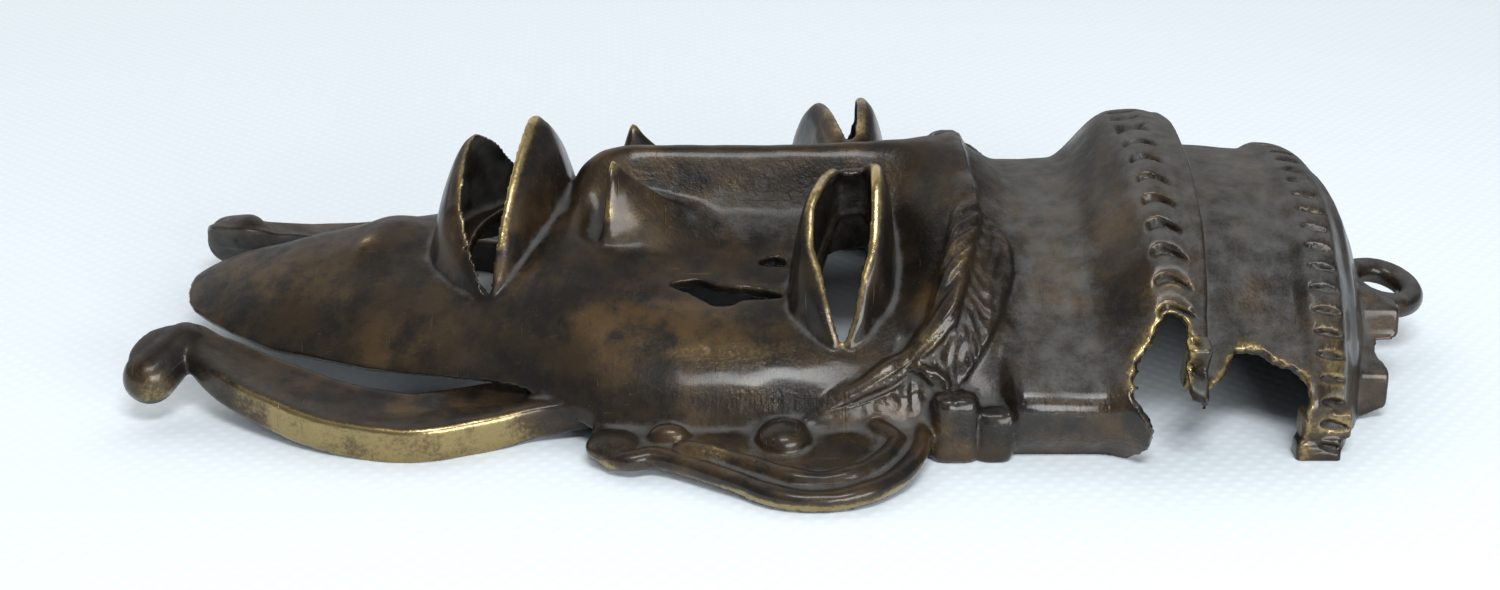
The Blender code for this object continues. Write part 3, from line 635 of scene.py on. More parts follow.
ears = {
    "centre": (2.4, 46.0),
    "radius": 20.0,
    "plate": 2.4,
    "roll": 1.75,
    "low": 1.5,
    "tilt": 0.17,
    "droop": 0.05,
    "outer": 65.5,
    "boss": 4.7,
    # place along and across, lift, then radii as shares of the boss
    "bosses": (("boss", -2.7, 49.4, 1.2, 1.02, 0.98, 0.66), ("smallBoss", -22.2, 48.2, 1.2, 0.76, 0.45, 0.5),
               ("lobe", -31.6, 48.8, 0.2, 1.05, 0.9, 0.5)),
    "lobe": ((-16.4, 56.6), (-24.0, 52.6), (-28.5, 53.2), (-33.0, 52.2)),
}


def onEar(x, y, lift=0.0):
    height = ears["low"] + ears["tilt"] * (ears["outer"] - abs(y)) - ears["droop"] * max(-x - 10.0, 0)
    return np.array((x, y, height + lift))


def earArc(radius, start, end, count):
    turn = np.radians(np.linspace(start, end, count))
    middle = ears["centre"]
    return [(middle[0] + radius * math.cos(t), middle[1] + radius * math.sin(t)) for t in turn]


def makeEars():
    made = []
    radius, roll = ears["radius"], ears["roll"]
    plate = earArc(radius, -8, 130, 90) + [(-17.0, 57.4), (-24.0, 53.6), (-32.0, 53.6), (-36.2, 49.6)]
    plate += [(-35.0, 43.0), (-20.0, 42.0), (0.0, 42.0)]
    rimLine = earArc(radius - 1.2, -22, 128, 18) + list(ears["lobe"])
    curl = [(11.0, 46.4), (12.6, 46.2), (14.4, 47.4)] + earArc(radius - 5.6, 14, 124, 12)
    curl += [(-11.0, 55.4), (-16.0, 53.2), (-21.0, 51.2)]
    for side in (1, -1):
        low = [onEar(x, side * y, -ears["plate"] / 2) for x, y in plate]
        high = [onEar(x, side * y, ears["plate"] / 2) for x, y in plate]
        made.append(loft("ear", [low, high]))
        for line, lift, thick in ((rimLine, 0.45, roll), (curl, 1.15, roll * 0.95)):
            path = np.array([onEar(x, side * y, lift) for x, y in curveThrough(line, 130)])
            step = np.arange(len(path))
            swell = 1 + 0.12 * np.sin(step * 0.23) * np.sin(step * 0.071)
            ends = np.minimum(1, np.minimum(step, step[::-1]) / 9 + 0.45)
            outline = superOval(2 * thick, 2 * thick, 20, 2.0)
            made.append(sweep("roll", path, lambda k: outline * swell[k] * ends[k]))
        for name, x, y, lift, *shares in ears["bosses"]:
            made.append(ball(name, onEar(x, side * y, lift), [ears["boss"] * share for share in shares]))
    return made


# ring, end teeth, feet and temple tabs

ring = {"place": (111.0, 0.0, 11.7), "hole": 3.7, "wire": 2.4, "tiltAcross": 9.0, "tiltAlong": 9.0}


def makeRing():
    turned = (math.radians(ring["tiltAlong"]), math.radians(ring["tiltAcross"]), 0)
    bpy.ops.mesh.primitive_torus_add(
        location=Vector(ring["place"]) * mm, rotation=turned, major_segments=96, minor_segments=32,
        major_radius=(ring["hole"] + ring["wire"]) * mm, minor_radius=ring["wire"] * mm)
    piece = bpy.context.object
    bpy.ops.object.transform_apply(location=True, rotation=True, scale=True)
    return piece


def block(name, centre, size, bevel=0.5, turned=0.0):
    bpy.ops.mesh.primitive_cube_add(size=1, location=Vector(centre) * mm, scale=Vector(size) * mm)
    piece = bpy.context.object
    piece.name = name
    piece.rotation_euler = (turned, 0, 0)
    bpy.ops.object.transform_apply(location=True, rotation=True, scale=True)
    inEditMode(piece, (bpy.ops.mesh.bevel, {"offset": bevel * mm, "segments": 3, "affect": "EDGES"}))
    return piece


edgeWork = {
    # height, place of the outer edge along the mask, distance from the middle line, half thickness
    "teeth": np.array((
        (0.8, 100.6, 31, 1.6), (2, 103, 30.6, 1.9), (2.9, 104.7, 30.2, 2.1), (8.6, 104.8, 29, 2.1),
        (9.6, 103.6, 27.4, 2), (10.4, 103.4, 25.2, 2), (11.2, 104.2, 22.4, 2), (11.9, 108.3, 20.4, 2.2),
        (16.4, 108.5, 19.2, 2.2), (17.6, 106.4, 18.6, 2), (19.6, 103.6, 18, 1.6))),
    "foot": ((90.4, 44.0, 5.8), (8.8, 4.8, 5.2)),
    "lowFoot": ((89.2, 45.6, 1.4), (7.8, 4.2, 4.2)),
    "tabs": (((26.6, 46.0, 5.8), (8.8, 5.6, 13.4), 2.6), ((33.4, 46.2, 4.4), (7.0, 5.0, 10.4), 2.4)),
    "tongue": ((66.9, -46.0, 17.8), (4.2, 4.4, 10.4)),   # the broken face of the front crest
}


def makeEdgeWork():
    made = []
    for side in (1, -1):
        rings = []
        for z, outer, aside, half in rowsBetween(edgeWork["teeth"], 64):
            low, high = side * (aside - half), side * (aside + half)
            rings.append([(95.0, low, z), (outer - 0.3, low, z), (outer, low + side * 0.3, z),
                          (outer, high - side * 0.3, z), (outer - 0.3, high, z), (95.0, high, z)])
        made.append(loft("teeth", rings))
        for name in ("foot", "lowFoot"):
            (x, y, z), size = edgeWork[name]
            made.append(block(name, (x, side * y, z), size, 0.7, turned=side * 0.12))
        for (x, y, z), size, soft in edgeWork["tabs"]:
            made.append(block("tab", (x, side * y, z), size, soft, turned=side * 0.1))
    made.append(block("tongue", *edgeWork["tongue"], 1.1, turned=0.35))
    return made


# one skin over all of it, as the wax had

def castWhole():
    shell = makeShell()
    print("shell drawn:", len(shell.data.vertices), "points")
    parts = makeLeaves() + makeBars() + makeEars() + [makeRing()] + makeEdgeWork()
    pick(shell, *parts)
    bpy.ops.object.join()
    whole = bpy.context.object
    whole.name = "maskCasting"
    whole.vertex_groups.clear()
    finishModifier(whole, "REMESH", mode="VOXEL", voxel_size=grain * mm)
    finishModifier(whole, "SMOOTH", factor=0.5, iterations=4)
    print("skin drawn:", len(whole.data.vertices), "points")
    flatFoot = {"plane_co": (0, 0, 0), "plane_no": (0, 0, 1), "use_fill": True, "clear_inner": True}
    inEditMode(whole, (bpy.ops.mesh.bisect, flatFoot))
    dropCrumbs(whole)
    return whole


def dropCrumbs(piece):
    # keeps the largest connected body
    edges, label = edgesOf(piece), np.arange(len(piece.data.vertices))
    while True:
        low = np.minimum(label[edges[:, 0]], label[edges[:, 1]])
        np.minimum.at(label, edges[:, 0], low)
        np.minimum.at(label, edges[:, 1], low)
        label = label[label]
        if (label[edges[:, 0]] == label[edges[:, 1]]).all():
            break
    crumbs = label != np.bincount(label).argmax()
    if crumbs.any():
        piece.data.vertices.foreach_set("select", crumbs)
        pick(piece)
        bpy.ops.object.mode_set(mode="EDIT")
        bpy.ops.mesh.select_mode(type="VERT")
        bpy.ops.object.mode_set(mode="OBJECT")
        piece.data.vertices.foreach_set("select", crumbs)
        bpy.ops.object.mode_set(mode="EDIT")
        bpy.ops.mesh.delete(type="VERT")
        bpy.ops.object.mode_set(mode="OBJECT")
        print("crumbs dropped:", int(crumbs.sum()))


def normalsOf(piece):
    normals = np.zeros(len(piece.data.vertices) * 3)
    piece.data.vertex_normals.foreach_get("vector", normals)
    return normals.reshape(-1, 3)


def fitToFrame(piece):
    # the drawn millimetres are brought to the box of the solid
    low, high = (np.array(corner) / mm for corner in cadBox)
    points = pointsOf(piece)
    mine, size = points.min(0), np.ptp(points, axis=0)
    print("fitted to the box by", np.round((high - low) / size, 4))
    points = low + (points - mine) / size * (high - low)
    setPoints(piece, points)


def softened(values, edges, degree, rounds):
    for _ in range(rounds):
        total = np.zeros_like(values)
        for column in range(values.shape[1]):
            total[:, column] = sum(np.bincount(edges[:, a], values[edges[:, 1 - a], column], len(values))
                                   for a in (0, 1))
        values = 0.5 * values + 0.5 * total / degree[:, None]
    return values


handwork = {
    "broad": 0.24, "broadSize": 12.0,   # uneven modelling of the wax
    "close": 0.10, "closeSize": 4.2,
    "chisel": 0.26,       # cuts in the band beside the brow cord
}


def archOf(points):
    # how far round the arch each point is
    x, y, z = points.T
    half, crown, edge = readCurve(shellRows, x).T[:3]
    return np.arctan2(np.maximum(z - edge, 0.01) / np.maximum(crown - edge, 1), y / half)


def facingOut(points, normals):
    away = points * (0, 1, 1) + (0, 0, 5)
    return (away * normals).sum(1) / np.linalg.norm(away, axis=1)


def chasedZones(points):
    x, y, z = points.T
    cheek = hump(x, -4, 12) * ramp(z, 18.0, 14.5) * ramp(z, 7.0, 10.5)
    hem = ramp(x, 35, 38) * ramp(x, 62, 58) * ramp(z, 20, 14) * ramp(z, 2, 5)
    temple = hump(x, 20, 7, z, 15, 6)
    return np.maximum(np.maximum(cheek, hem), 0.8 * temple) * ramp(np.abs(y), 30, 36)


def pittedZones(points):
    # rougher skin: walls of the nose, the brow, the lower crest and the cap between the crests
    x, y, z = points.T
    noseWall = ramp(x, -34, -26) * ramp(x, 26, 16) * hump(np.abs(y), 7, 5)
    browZone = hump(x, 30, 7) * ramp(np.abs(y), 8, 20)
    cap = hump(x, 80, 8, z, 22, 8)
    return np.maximum(np.maximum(noseWall, browZone), cap)


def engrave(piece):
    # cuts made in the metal after casting
    points, normals = pointsOf(piece), normalsOf(piece)
    x, phi = points[:, 0], archOf(points)
    cos, depth = np.cos(phi), crestCuts(x, phi)
    beside, edge = x - overArch(brow["line"], phi), overArch(brow["bandEdge"], phi)
    chisel = np.sin(cos * 62 + 2.6 * np.sin(x * 0.83)) * np.sin(x * 1.55 + cos * 31 + 1.3 * np.sin(phi * 17))
    upper = ramp(points[:, 2], 7.0, 12.0) * ramp(np.abs(points[:, 1]), 49.5, 47.5)
    along = np.abs(cos) * 46 + beside * 0.8
    turns = np.clip(np.sin(along / 0.72 + 1.6 * np.sin(along / 3.7)), -0.3, 1)
    depth += brow["twist"] * turns * upper * ramp(np.abs(beside), 3.4, 1.6) * ramp(np.abs(cos), 0.25, 0.45)
    depth += handwork["chisel"] * chisel * ramp(beside, 2.2, 4.2) * ramp(edge - x, -0.2, 1.0) * upper
    setPoints(piece, points - normals * (depth * ramp(facingOut(points, normals), 0.3, 0.6))[:, None])


wearPlan = {
    "fine": (0.04, 0.16),       # bulge over the nearest millimetre that shows metal
    "broad": (0.35, 1.1),       # the same over several millimetres
    "everywhere": 0.16,
    # middle, reach in each direction, how much rubbing there counts, metal laid bare even on the flat
    "spots": (
        ((8, -24, 34), (9, 16, 12), 0.6, 0.0),           # eyes
        ((20, -40, 18), (6, 6, 5), 0.6, 0.16),           # tail of the brow cord
        ((10, -42, 15), (8, 4, 3), 0.4, 0.16),
        ((27, -30, 28), (5, 8, 8), 0.6, 0.10),
        ((20, 40, 18), (8, 6, 6), 0.6, 0.10),
        ((63, -40, 24), (6, 9, 12), 0.8, 0.18),          # lower notches and broken edge of the crest
        ((65.4, -47, 18), (1.9, 4, 6.5), 1, 0.66),
        ((72, -43, 14), (20, 8, 6), 0.6, 0),
        ((92, -42, 12), (7, 8, 12), 0.8, 0.22),
        ((90, -45, 6.6), (6, 5, 3.2), 1.0, 0.50),        # foot
        ((91, 42, 8), (8, 8, 10), 0.7, 0.25),
        ((-114, -33, 6), (5, 5, 6), 0.7, 0.56),          # ends of the chin bars
        ((-114, 33, 6), (5, 5, 6), 0.6, 0.45),
        ((-79.4, -6.6, 26), (1.7, 1.7, 3), 0.6, 0.62),   # nub on the chin
        ((-12, -39, 17), (13, 3, 2.5), 0.4, 0.42),         # rubbed streak on the cheek
        ((-31, -51, 1.5), (8, 5, 4), 0.8, 0.40),         # lobe of the ear
        ((-31, 51, 1.5), (8, 5, 4), 0.7, 0.30),
        ((-12, -54, 4), (9, 3, 4), 0.8, 0.35),           # roll of the ear
        ((13, -50, 3), (4, 4, 4), 0.7, 0.20),
    ),
}


def wornLines():
    # edges rubbed to bare metal: the line, its reach, how bare
    found = []
    for side, much in ((-1, 0.56), (1, 0.36)):
        line, inward = eyeLine(side)
        line = line + np.column_stack((inward * eyes["rim"] / 2, np.full(len(line), -0.3)))
        half = len(line) // 2
        for part, share in ((line[:half - 14], 0.82), (line[half + 14:], 1.0)):
            found.append((part, 1.5, much * share))
        y = side * np.linspace(8.4, 14.5, 20)
        x = nose["wingFront"] + nose["wingSlant"] * y + 0.7
        found.append((np.column_stack((x, y, faceHeight(x, y) + sum(noseRelief(x, y)))), 1.6, much * 1.1))
        rim = curveThrough(earArc(ears["radius"] + 0.3, -24, 126, 18) + list(ears["lobe"]), 150)
        found.append((np.array([onEar(x, side * y, -0.9) for x, y in rim]), 1.9, much * 1.1))
    lower, upper = mouthLines()
    inner = slice(len(lower) // 8, -len(lower) // 8)
    found.append((lower[inner] + (mouth["lowerRim"] / 2, 0, -0.3), 1.0, 0.42))
    found.append((upper[inner] - (mouth["upperRim"] / 2, 0, 0.3), 1.7, 0.56))
    outline = curveThrough(np.array(damage["break"]), 200)
    for y in (-47.5, -45.5, -43.5, -41.5, -39.0, -36.0):
        found.append((np.column_stack((outline[:, 0], np.full(200, y), outline[:, 1])), 1.2, 0.46))
    return found


def lineShare(points, line, reach):
    share = np.zeros(len(points))
    near = np.where(((points > line.min(0) - reach) & (points < line.max(0) + reach)).all(1))[0]
    gap = np.full(len(near), 9.0)
    for place in line:
        gap = np.minimum(gap, ((points[near] - place) ** 2).sum(1))
    share[near] = ramp(np.sqrt(gap), reach, 0.55 * reach)
    return share


def insideSpot(points, middle, reach):
    gap = ((points - middle) / reach) ** 2
    return np.exp(-1.1 * gap.sum(1) ** 1.5)


def barFaces(points, normals):
    # the outer face of each chin bar, rubbed to metal from end to end
    path = rowsBetween(bars["line"], 70)
    path = path[(path[:, 0] < -38) & (path[:, 0] > -107)]
    bare, near = np.zeros(len(points)), np.where((points[:, 0] < -36) & (points[:, 2] < 17))[0]
    for side in (1, -1):
        line = path[:, :2] * (1, side)
        heading = np.gradient(line, axis=0)
        outward = np.column_stack((-heading[:, 1], heading[:, 0]))
        outward /= np.linalg.norm(outward, axis=1)[:, None]
        outward *= np.sign((outward * (0, side)).sum(1))[:, None]
        close = near[points[near, 1] * side > 15]
        gaps = np.linalg.norm(points[close, None, :2] - line[None], axis=2)
        which = gaps.argmin(1)
        beside = ((points[close, :2] - line[which]) * outward[which]).sum(1) / (path[which, 3] / 2)
        facing = (normals[close, :2] * outward[which]).sum(1)
        strength = ramp(beside, 0.55, 0.85) * ramp(facing, 0.25, 0.75) * ramp(gaps.min(1), 9.5, 8.0)
        fade = ramp(points[close, 0], -38, -52) * ramp(points[close, 0], -108, -88)
        bare[close] = strength * fade * (1.0 if side < 0 else 0.8)
    return bare


# where the patina has gone warm brown: middle, reach, strength
warmSpots = (
    ((-22, -34, 20), (26, 9, 6), 1), ((46, -30, 28), (10, 14, 10), 1), ((24, -34, 24), (7, 7, 9), 0.9),
    ((-50, -22, 24), (10, 8, 8), 0.8), ((46, -47, 4), (14, 4, 6), 0.8), ((-88, -14, 18), (16, 8, 6), 0.7),
    ((10, -8, 40), (26, 6, 4), 0.7), ((-60, -40, 7), (24, 8, 4), 0.8), ((-3, -49, 5), (6, 6, 4), 1),
)
surfaceMarks = ("wear", "dustAndSheen", "warm", "gloss", "chased", "pitted")


def markSurface(piece):
    # wear, dust and warmth are worked out from how far the skin bulges or dips; the dust also carries a painted
    # sheen on the up-facing cap and leaves painted shade in the deepest cuts
    points, normals = pointsOf(piece), normalsOf(piece)
    edges = edgesOf(piece)
    degree = np.maximum(np.bincount(edges.ravel(), minlength=len(points)), 1).astype(float)
    near = softened(points, edges, degree, 6)
    wide = softened(near, edges, degree, 45)
    bulge = -((near - points) * normals).sum(1)
    swell = -((wide - points) * normals).sum(1)
    inner = ramp(-facingOut(points, normals), 0.05, 0.4)
    inner = np.maximum(inner, ramp(-normals[:, 2], 0.5, 0.8))
    rubbed = np.maximum(ramp(bulge, *wearPlan["fine"]), 0.7 * ramp(swell, *wearPlan["broad"]))
    gain = np.full(len(points), wearPlan["everywhere"])
    bare = np.zeros(len(points))
    for middle, reach, much, flat in wearPlan["spots"]:
        inside = insideSpot(points, middle, reach)
        gain = np.maximum(gain, much * inside)
        bare = np.maximum(bare, flat * inside)
    for line, reach, much in wornLines():
        bare = np.maximum(bare, much * lineShare(points, line, reach))
    bar = barFaces(points, normals)
    gain, bare = np.maximum(gain, bar), np.maximum(bare, 0.58 * bar)
    wear = np.clip(0.6 * rubbed * gain + bare * ramp(-swell, 0.5, 0.1), 0, 1) * (1 - inner)
    level = ramp(normals[:, 2], 0.35, 0.95)
    # dust in hollows fades out of the deepest cuts so that they stay dark: painted shade in the cuts
    dustAndSheen = np.maximum(ramp(-swell, 0.04, 0.6), 0.5 * ramp(-bulge, 0.03, 0.12)) * ramp(bulge, -0.30, -0.14)
    # on the up-facing faces of the cap the pale film is partly dust and partly a painted sheen
    dustAndSheen = np.maximum(dustAndSheen, level * 0.60 * ramp(points[:, 0], 25, 45))
    noseWall = hump(points[:, 0], -4, 24, np.abs(points[:, 1]), 8, 4.5) * ramp(points[:, 2], 38.5, 36.0)
    dustAndSheen = np.maximum(dustAndSheen, 0.42 * noseWall)
    dustAndSheen = np.maximum(dustAndSheen, 0.62 * inner) * (1 - 0.7 * wear)
    warm = 0.45 + 0.5 * wander(points, 24.0, 3, 2)
    for middle, reach, much in warmSpots:
        warm = np.maximum(warm, much * insideSpot(points, middle, reach))
    chased = chasedZones(points)
    pitted = np.maximum(chased, pittedZones(points))
    gloss = 0.30 * ramp(swell, -0.1, 0.7) + 0.5 * chased + 0.25 * ramp(warm, 0.5, 1.0)
    gloss = gloss + 0.5 * ramp(level, 0.7, 0.0)
    gloss = np.clip(gloss, 0, 1) * (1 - 0.8 * ramp(dustAndSheen, 0.2, 0.8)) * (1 - 0.7 * inner)
    for name, values in zip(surfaceMarks, (wear, dustAndSheen, warm, gloss, chased, pitted)):
        layer = piece.data.attributes.new(name, "FLOAT", "POINT")
        layer.data.foreach_set("value", softened(values[:, None], edges, degree, 1)[:, 0].astype(np.float32))


def chase(piece):
    points, normals = pointsOf(piece), normalsOf(piece)
    move = np.zeros(len(points))
    for k, name in enumerate(("broad", "close")):
        move += handwork[name] * wander(points, handwork[name + "Size"], k + 1)
    move *= ramp(points[:, 2], 0.3, 1.5)
    setPoints(piece, points + normals * move[:, None])


mask = castWhole()
engrave(mask)
chase(mask)
markSurface(mask)
print("surface worked and marked")
fitToFrame(mask)
finishModifier(mask, "DECIMATE", ratio=mostFaces / (2 * len(mask.data.polygons)), use_collapse_triangulate=True)
pick(mask)
bpy.ops.object.shade_smooth()
print("finished skin:", len(mask.data.polygons), "faces,", [a.name for a in mask.data.attributes])


# bronze finish

bronze = {
    "deep": (0.0135, 0.0105, 0.0085, 1),
    "brown": (0.038, 0.025, 0.0135, 1),
    "rust": (0.078, 0.044, 0.0165, 1),
    "metal": (0.33, 0.245, 0.105, 1),
    "oldMetal": (0.135, 0.088, 0.036, 1),
    # colours of the grey film, which is dust and, on the up-facing cap tops, a painted sheen
    "darkDustAndSheen": (0.040, 0.039, 0.038, 1),
    "paleDustAndSheen": (0.135, 0.130, 0.122, 1),
    "dustAndSheenCover": 0.75,
    "metallic": 0.55,            # of the patina; rubbed metal adds, and the film of dust and painted sheen takes away
    "roughness": (0.44, 0.58),   # of the patina, from patch to patch
    "dustRoughness": 0.30,
    "glossSmooths": 0.20,
    "metalSmooths": 0.12,
    "specular": 0.3,
    "coat": 0.75,
    "coatRoughness": 0.15,
    "pits": 0.25,
    "relief": 0.00036,           # height of the bump, metres
}
# how fine each texture is, to the metre
textures = {
    "fine": 1500.0, "peel": 560.0, "pits": 820.0, "pitted": 190.0, "chips": 1500.0, "patches": 160.0,
    "cloud": 260.0, "grit": 2100.0, "filed": 70.0, "mottle": 120.0, "polish": 300.0,
    # scratches one way, scratches the other way, strokes of the chaser: stretch, turn, scale
    "lines": (((0.05, 1.0, 1.0), (0.0, 0.1, 0.2), 1500.0), ((1.0, 0.12, 0.07), (0.3, 0.0, 0.1), 1300.0),
              ((1, 0.16, 0.16), (0, 0.12, 0), 900)),
}


def node(tree, kind, **values):
    # nodes stand in columns of six, in the order that they are made
    made, count = tree.nodes.new(kind), len(tree.nodes)
    made.location = (count // 6 * 220 - 1500, count % 6 * -260)
    for name, value in values.items():
        if name in made.inputs:
            made.inputs[name].default_value = value
        else:
            setattr(made, name, value)
    return made


def feed(socket, value):
    # numbers and colours are set on the socket, and anything else is linked to it
    if isinstance(value, (int, float, tuple)):
        socket.default_value = value
    else:
        socket.id_data.links.new(value, socket)


def group(name, inputs, outputs):
    tree = bpy.data.node_groups.new(name, "ShaderNodeTree")
    for way, sockets in (("INPUT", inputs), ("OUTPUT", outputs)):
        for label, kind in sockets.items():
            tree.interface.new_socket(name=label, in_out=way, socket_type="NodeSocket" + kind)
    return tree, node(tree, "NodeGroupInput").outputs, node(tree, "NodeGroupOutput").inputs


def calculate(operation, first, second, clamp=False):
    tree = (second if isinstance(first, float) else first).id_data
    made = node(tree, "ShaderNodeMath", operation=operation, use_clamp=clamp)
    feed(made.inputs[0], first)
    feed(made.inputs[1], second)
    return made.outputs[0]


plus, minus, times, larger = (partial(calculate, name) for name in ("ADD", "SUBTRACT", "MULTIPLY", "MAXIMUM"))


def spread(value, low, high, bottom=0.0, top=1.0):
    made = node(value.id_data, "ShaderNodeMapRange", interpolation_type="SMOOTHSTEP")
    names = ("Value", "From Min", "From Max", "To Min", "To Max")
    for name, given in zip(names, (value, low, high, bottom, top)):
        feed(made.inputs[name], given)
    return made.outputs[0]


def blendColour(mask, first, second):
    made = node(mask.id_data, "ShaderNodeMix", data_type="RGBA")
    for number, value in ((0, mask), (6, first), (7, second)):
        feed(made.inputs[number], value)
    return made.outputs[2]


def speckle(vector, scale, detail, roughness=0.55):
    made = node(vector.id_data, "ShaderNodeTexNoise", Scale=scale, Detail=detail, Roughness=roughness)
    feed(made.inputs["Vector"], vector)
    return made.outputs["Fac"]


def addBump(shader, height, strength, distance):
    bump = node(height.id_data, "ShaderNodeBump", Strength=strength, Distance=distance)
    feed(bump.inputs["Height"], height)
    feed(shader.inputs["Normal"], bump.outputs["Normal"])


def newFinish(name):
    finish = bpy.data.materials.new(name)
    finish.use_nodes = True
    tree = finish.node_tree
    shader = tree.nodes["Principled BSDF"]
    shader.location, tree.nodes["Material Output"].location = (1500, 0), (1850, 0)
    return finish, tree, shader, node(tree, "ShaderNodeTexCoord").outputs["Object"]


def castGrain():
    # pits and the fine orange-peel of old cast metal
    tree, inside, outside = group("castGrain", {"Vector": "Vector", "Pits": "Float"}, {"Height": "Float"})
    vector = inside["Vector"]
    fine = speckle(vector, textures["fine"], 2.0, 0.6)
    peel = speckle(vector, textures["peel"], 2.0, 0.6)
    cells = node(tree, "ShaderNodeTexVoronoi", Scale=textures["pits"], Randomness=1.0)
    feed(cells.inputs["Vector"], vector)
    pit = spread(cells.outputs["Distance"], 0.26, 0.08)
    here = spread(speckle(vector, textures["pitted"], 2.0), 0.5, 0.66)
    depth = times(times(pit, here), inside["Pits"])
    height = plus(times(fine, 0.35), times(peel, 0.65))
    feed(outside["Height"], minus(height, depth))
    return tree


def rubbedMetal():
    # where handling has taken the patina off, broken up as on old bronze
    tree, inside, outside = group("rubbedMetal", {"Vector": "Vector", "Wear": "Float"},
                                  {"Mask": "Float", "Halo": "Float"})
    chips = speckle(inside["Vector"], textures["chips"], 4.0, 0.65)
    patches = speckle(inside["Vector"], textures["patches"], 2.0)
    both = plus(times(chips, 0.6), times(patches, 0.7))
    level = plus(inside["Wear"], minus(both, 0.65))
    feed(outside["Mask"], spread(level, 0.32, 0.66))
    feed(outside["Halo"], spread(level, 0.06, 0.46))
    return tree


# a grey film of dust in hollows, on inner faces and on the walls of the nose, and a painted sheen on the
# up-facing faces of the cap
def dustAndSheenFilm():
    tree, inside, outside = group("dustAndSheenFilm", {"Vector": "Vector", "DustAndSheenLevel": "Float"},
                                  {"Mask": "Float", "Colour": "Color"})
    cloud = speckle(inside["Vector"], textures["cloud"], 4.0, 0.6)
    grit = speckle(inside["Vector"], textures["grit"], 2.0)
    level = plus(inside["DustAndSheenLevel"], times(minus(cloud, 0.5), 0.9))
    level = plus(level, times(minus(grit, 0.5), 0.35))
    feed(outside["Mask"], spread(level, 0.08, 0.75))
    feed(outside["Colour"], blendColour(cloud, bronze["darkDustAndSheen"], bronze["paleDustAndSheen"]))
    return tree


def fileMarks():
    # fine scratches from scraping and polishing, and the close upright strokes of the chaser
    tree, inside, outside = group("fileMarks", {"Vector": "Vector"},
                                  {"Height": "Float", "Mask": "Float", "Strokes": "Float"})
    lines = []
    for stretch, turned, scale in textures["lines"]:
        mapping = node(tree, "ShaderNodeMapping", Scale=stretch, Rotation=turned)
        feed(mapping.inputs["Vector"], inside["Vector"])
        lines.append(speckle(mapping.outputs[0], scale, 2.0))
    feed(outside["Strokes"], lines.pop())
    where = spread(speckle(inside["Vector"], textures["filed"], 1.0), 0.48, 0.62)
    marks = times(larger(*(spread(line, 0.66, 0.74) for line in lines)), where)
    feed(outside["Mask"], marks)
    feed(outside["Height"], times(marks, -1.0))
    return tree


def bronzeFinish():
    finish, tree, shader, place = newFinish("patinatedBronze")
    marks = {}
    for name in surfaceMarks:
        mark = node(tree, "ShaderNodeAttribute", attribute_type="GEOMETRY", attribute_name=name)
        marks[name] = mark.outputs["Fac"]
    parts = []
    for made in (castGrain(), rubbedMetal(), dustAndSheenFilm(), fileMarks()):
        parts.append(node(tree, "ShaderNodeGroup", node_tree=made))
        feed(parts[-1].inputs["Vector"], place)
    feed(parts[0].inputs["Pits"], bronze["pits"])
    feed(parts[1].inputs["Wear"], marks["wear"])
    feed(parts[2].inputs["DustAndSheenLevel"], marks["dustAndSheen"])
    skin, metal, dustAndSheen, filed = (part.outputs for part in parts)

    mottle = spread(speckle(place, textures["mottle"], 5.0, 0.62), 0.36, 0.66)
    warmth = times(spread(marks["warm"], 0.45, 0.85), mottle)
    # share of the grey film: dust, and a painted sheen on the up-facing cap tops
    dustAndSheenShare = times(dustAndSheen["Mask"], bronze["dustAndSheenCover"])
    halo = times(metal["Halo"], 0.5)
    scratched = times(filed["Mask"], 0.25)
    colour = bronze["deep"]
    for share, laid in ((mottle, bronze["brown"]), (warmth, bronze["rust"]), (dustAndSheenShare, dustAndSheen["Colour"]),
                        (halo, bronze["oldMetal"]), (metal["Mask"], bronze["metal"]),
                        (scratched, bronze["oldMetal"])):
        colour = blendColour(share, colour, laid)
    feed(shader.inputs["Base Color"], colour)

    metallic = plus(times(metal["Mask"], 0.4), bronze["metallic"])
    metallic = minus(metallic, times(dustAndSheenShare, 0.4), clamp=True)
    feed(shader.inputs["Metallic"], metallic)
    cloudy = spread(speckle(place, textures["polish"], 4.0, 0.6), 0.3, 0.7, *bronze["roughness"])
    rough = plus(cloudy, times(dustAndSheenShare, bronze["dustRoughness"]), clamp=True)
    rough = minus(rough, times(marks["gloss"], bronze["glossSmooths"]))
    rough = minus(rough, times(metal["Mask"], bronze["metalSmooths"]), clamp=True)
    feed(shader.inputs["Roughness"], rough)
    polish = times(minus(1.0, dustAndSheenShare), bronze["coat"])
    feed(shader.inputs["Coat Weight"], times(polish, marks["gloss"], clamp=True))
    feed(shader.inputs["Coat Roughness"], bronze["coatRoughness"])
    feed(shader.inputs["Specular IOR Level"], bronze["specular"])

    amount = plus(times(marks["pitted"], 0.75), 0.25)
    height = plus(times(skin["Height"], amount), times(filed["Height"], 0.3))
    strokes = times(filed["Strokes"], marks["chased"])
    addBump(shader, plus(height, times(strokes, 0.6)), 1.0, bronze["relief"])
    return finish


mask.data.materials.clear()
mask.data.materials.append(bronzeFinish())
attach(mask, "root")
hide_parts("mask")
print("bronze finish set")


# table, light and camera

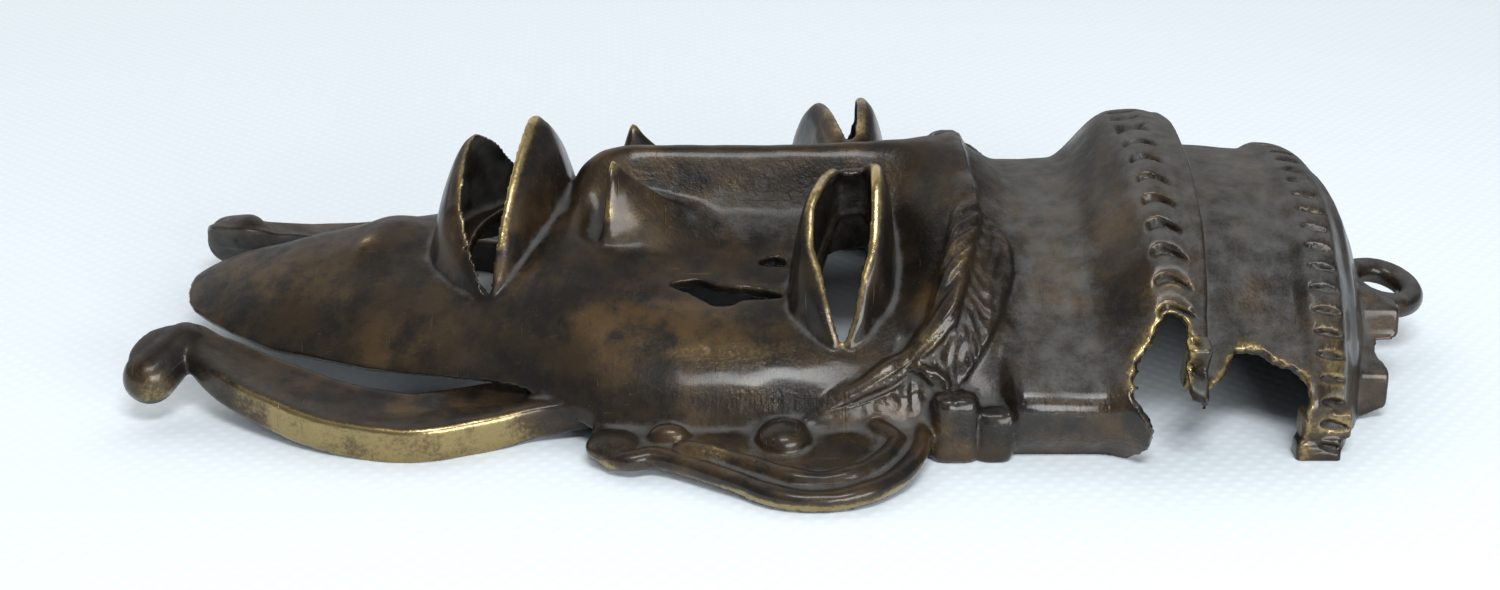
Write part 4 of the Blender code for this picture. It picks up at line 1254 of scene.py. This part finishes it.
studio = {
    "table": 6,
    "lens": 50.4,
    "camera": (-0.0085, -0.36542, 0.1727),
    "pitch": 66.0,
    "world": (0.88, 0.94, 1.0, 1.0),
    "worldStrength": 0.27,
    "aim": (0, 0, 0.015),
    # place, size along and across, power, colour
    "key": ((0.04, -0.40, 0.60), 0.30, 0.16, 2.9, (0.93, 0.97, 1.0)),
    "back": ((-0.25, 0.65, 0.70), 2.4, 1.2, 9.8, (1.0, 0.99, 0.97)),
    "low": ((0.34, -0.62, 0.20), 0.5, 0.25, 3.6, (0.95, 0.98, 1.0)),
}


cloth = {
    "dark": (0.81, 0.865, 0.90, 1),
    "pale": (0.845, 0.90, 0.935, 1),
    "threads": 118.0,     # to the metre
    "turned": 41,
    "roughness": 0.85,
    "relief": 0.0002,
}


def tableFinish():
    finish, tree, shader, place = newFinish("paleCloth")
    feed(shader.inputs["Roughness"], cloth["roughness"])
    turned = node(tree, "ShaderNodeMapping", Rotation=(0, 0, math.radians(cloth["turned"])))
    feed(turned.inputs["Vector"], place)
    threads = []
    for way in ("X", "Y"):
        wave = node(tree, "ShaderNodeTexWave", bands_direction=way, Scale=cloth["threads"])
        feed(wave.inputs["Vector"], turned.outputs[0])
        threads.append(wave.outputs["Fac"])
    weave = times(*threads)
    feed(shader.inputs["Base Color"], blendColour(weave, cloth["dark"], cloth["pale"]))
    addBump(shader, weave, 0.2, cloth["relief"])
    return finish


bpy.ops.mesh.primitive_plane_add(size=studio["table"])
table = bpy.context.object
table.name = "table"
table.data.materials.append(tableFinish())

world = bpy.data.worlds.new("studio")
bpy.context.scene.world = world
world.use_nodes = True
sky = world.node_tree.nodes["Background"]
sky.inputs["Color"].default_value = studio["world"]
sky.inputs["Strength"].default_value = studio["worldStrength"]

for name in ("key", "back", "low"):
    place, long, wide, power, colour = studio[name]
    aim = (Vector(studio["aim"]) - Vector(place)).to_track_quat("-Z", "Y").to_euler()
    bpy.ops.object.light_add(type="AREA", location=place, rotation=aim)
    lamp = bpy.context.object
    lamp.name = name
    lamp.data.shape = "RECTANGLE"
    lamp.data.size, lamp.data.size_y = long, wide
    lamp.data.energy = power
    lamp.data.color = colour

bpy.ops.object.camera_add(location=studio["camera"], rotation=(math.radians(studio["pitch"]), 0, 0))
camera = bpy.context.object
camera.data.lens = studio["lens"]
camera.data.sensor_width = 36.0
camera.data.clip_start = 0.01
bpy.context.scene.camera = camera
bpy.context.scene.view_settings.view_transform = "Standard"
print("studio set")
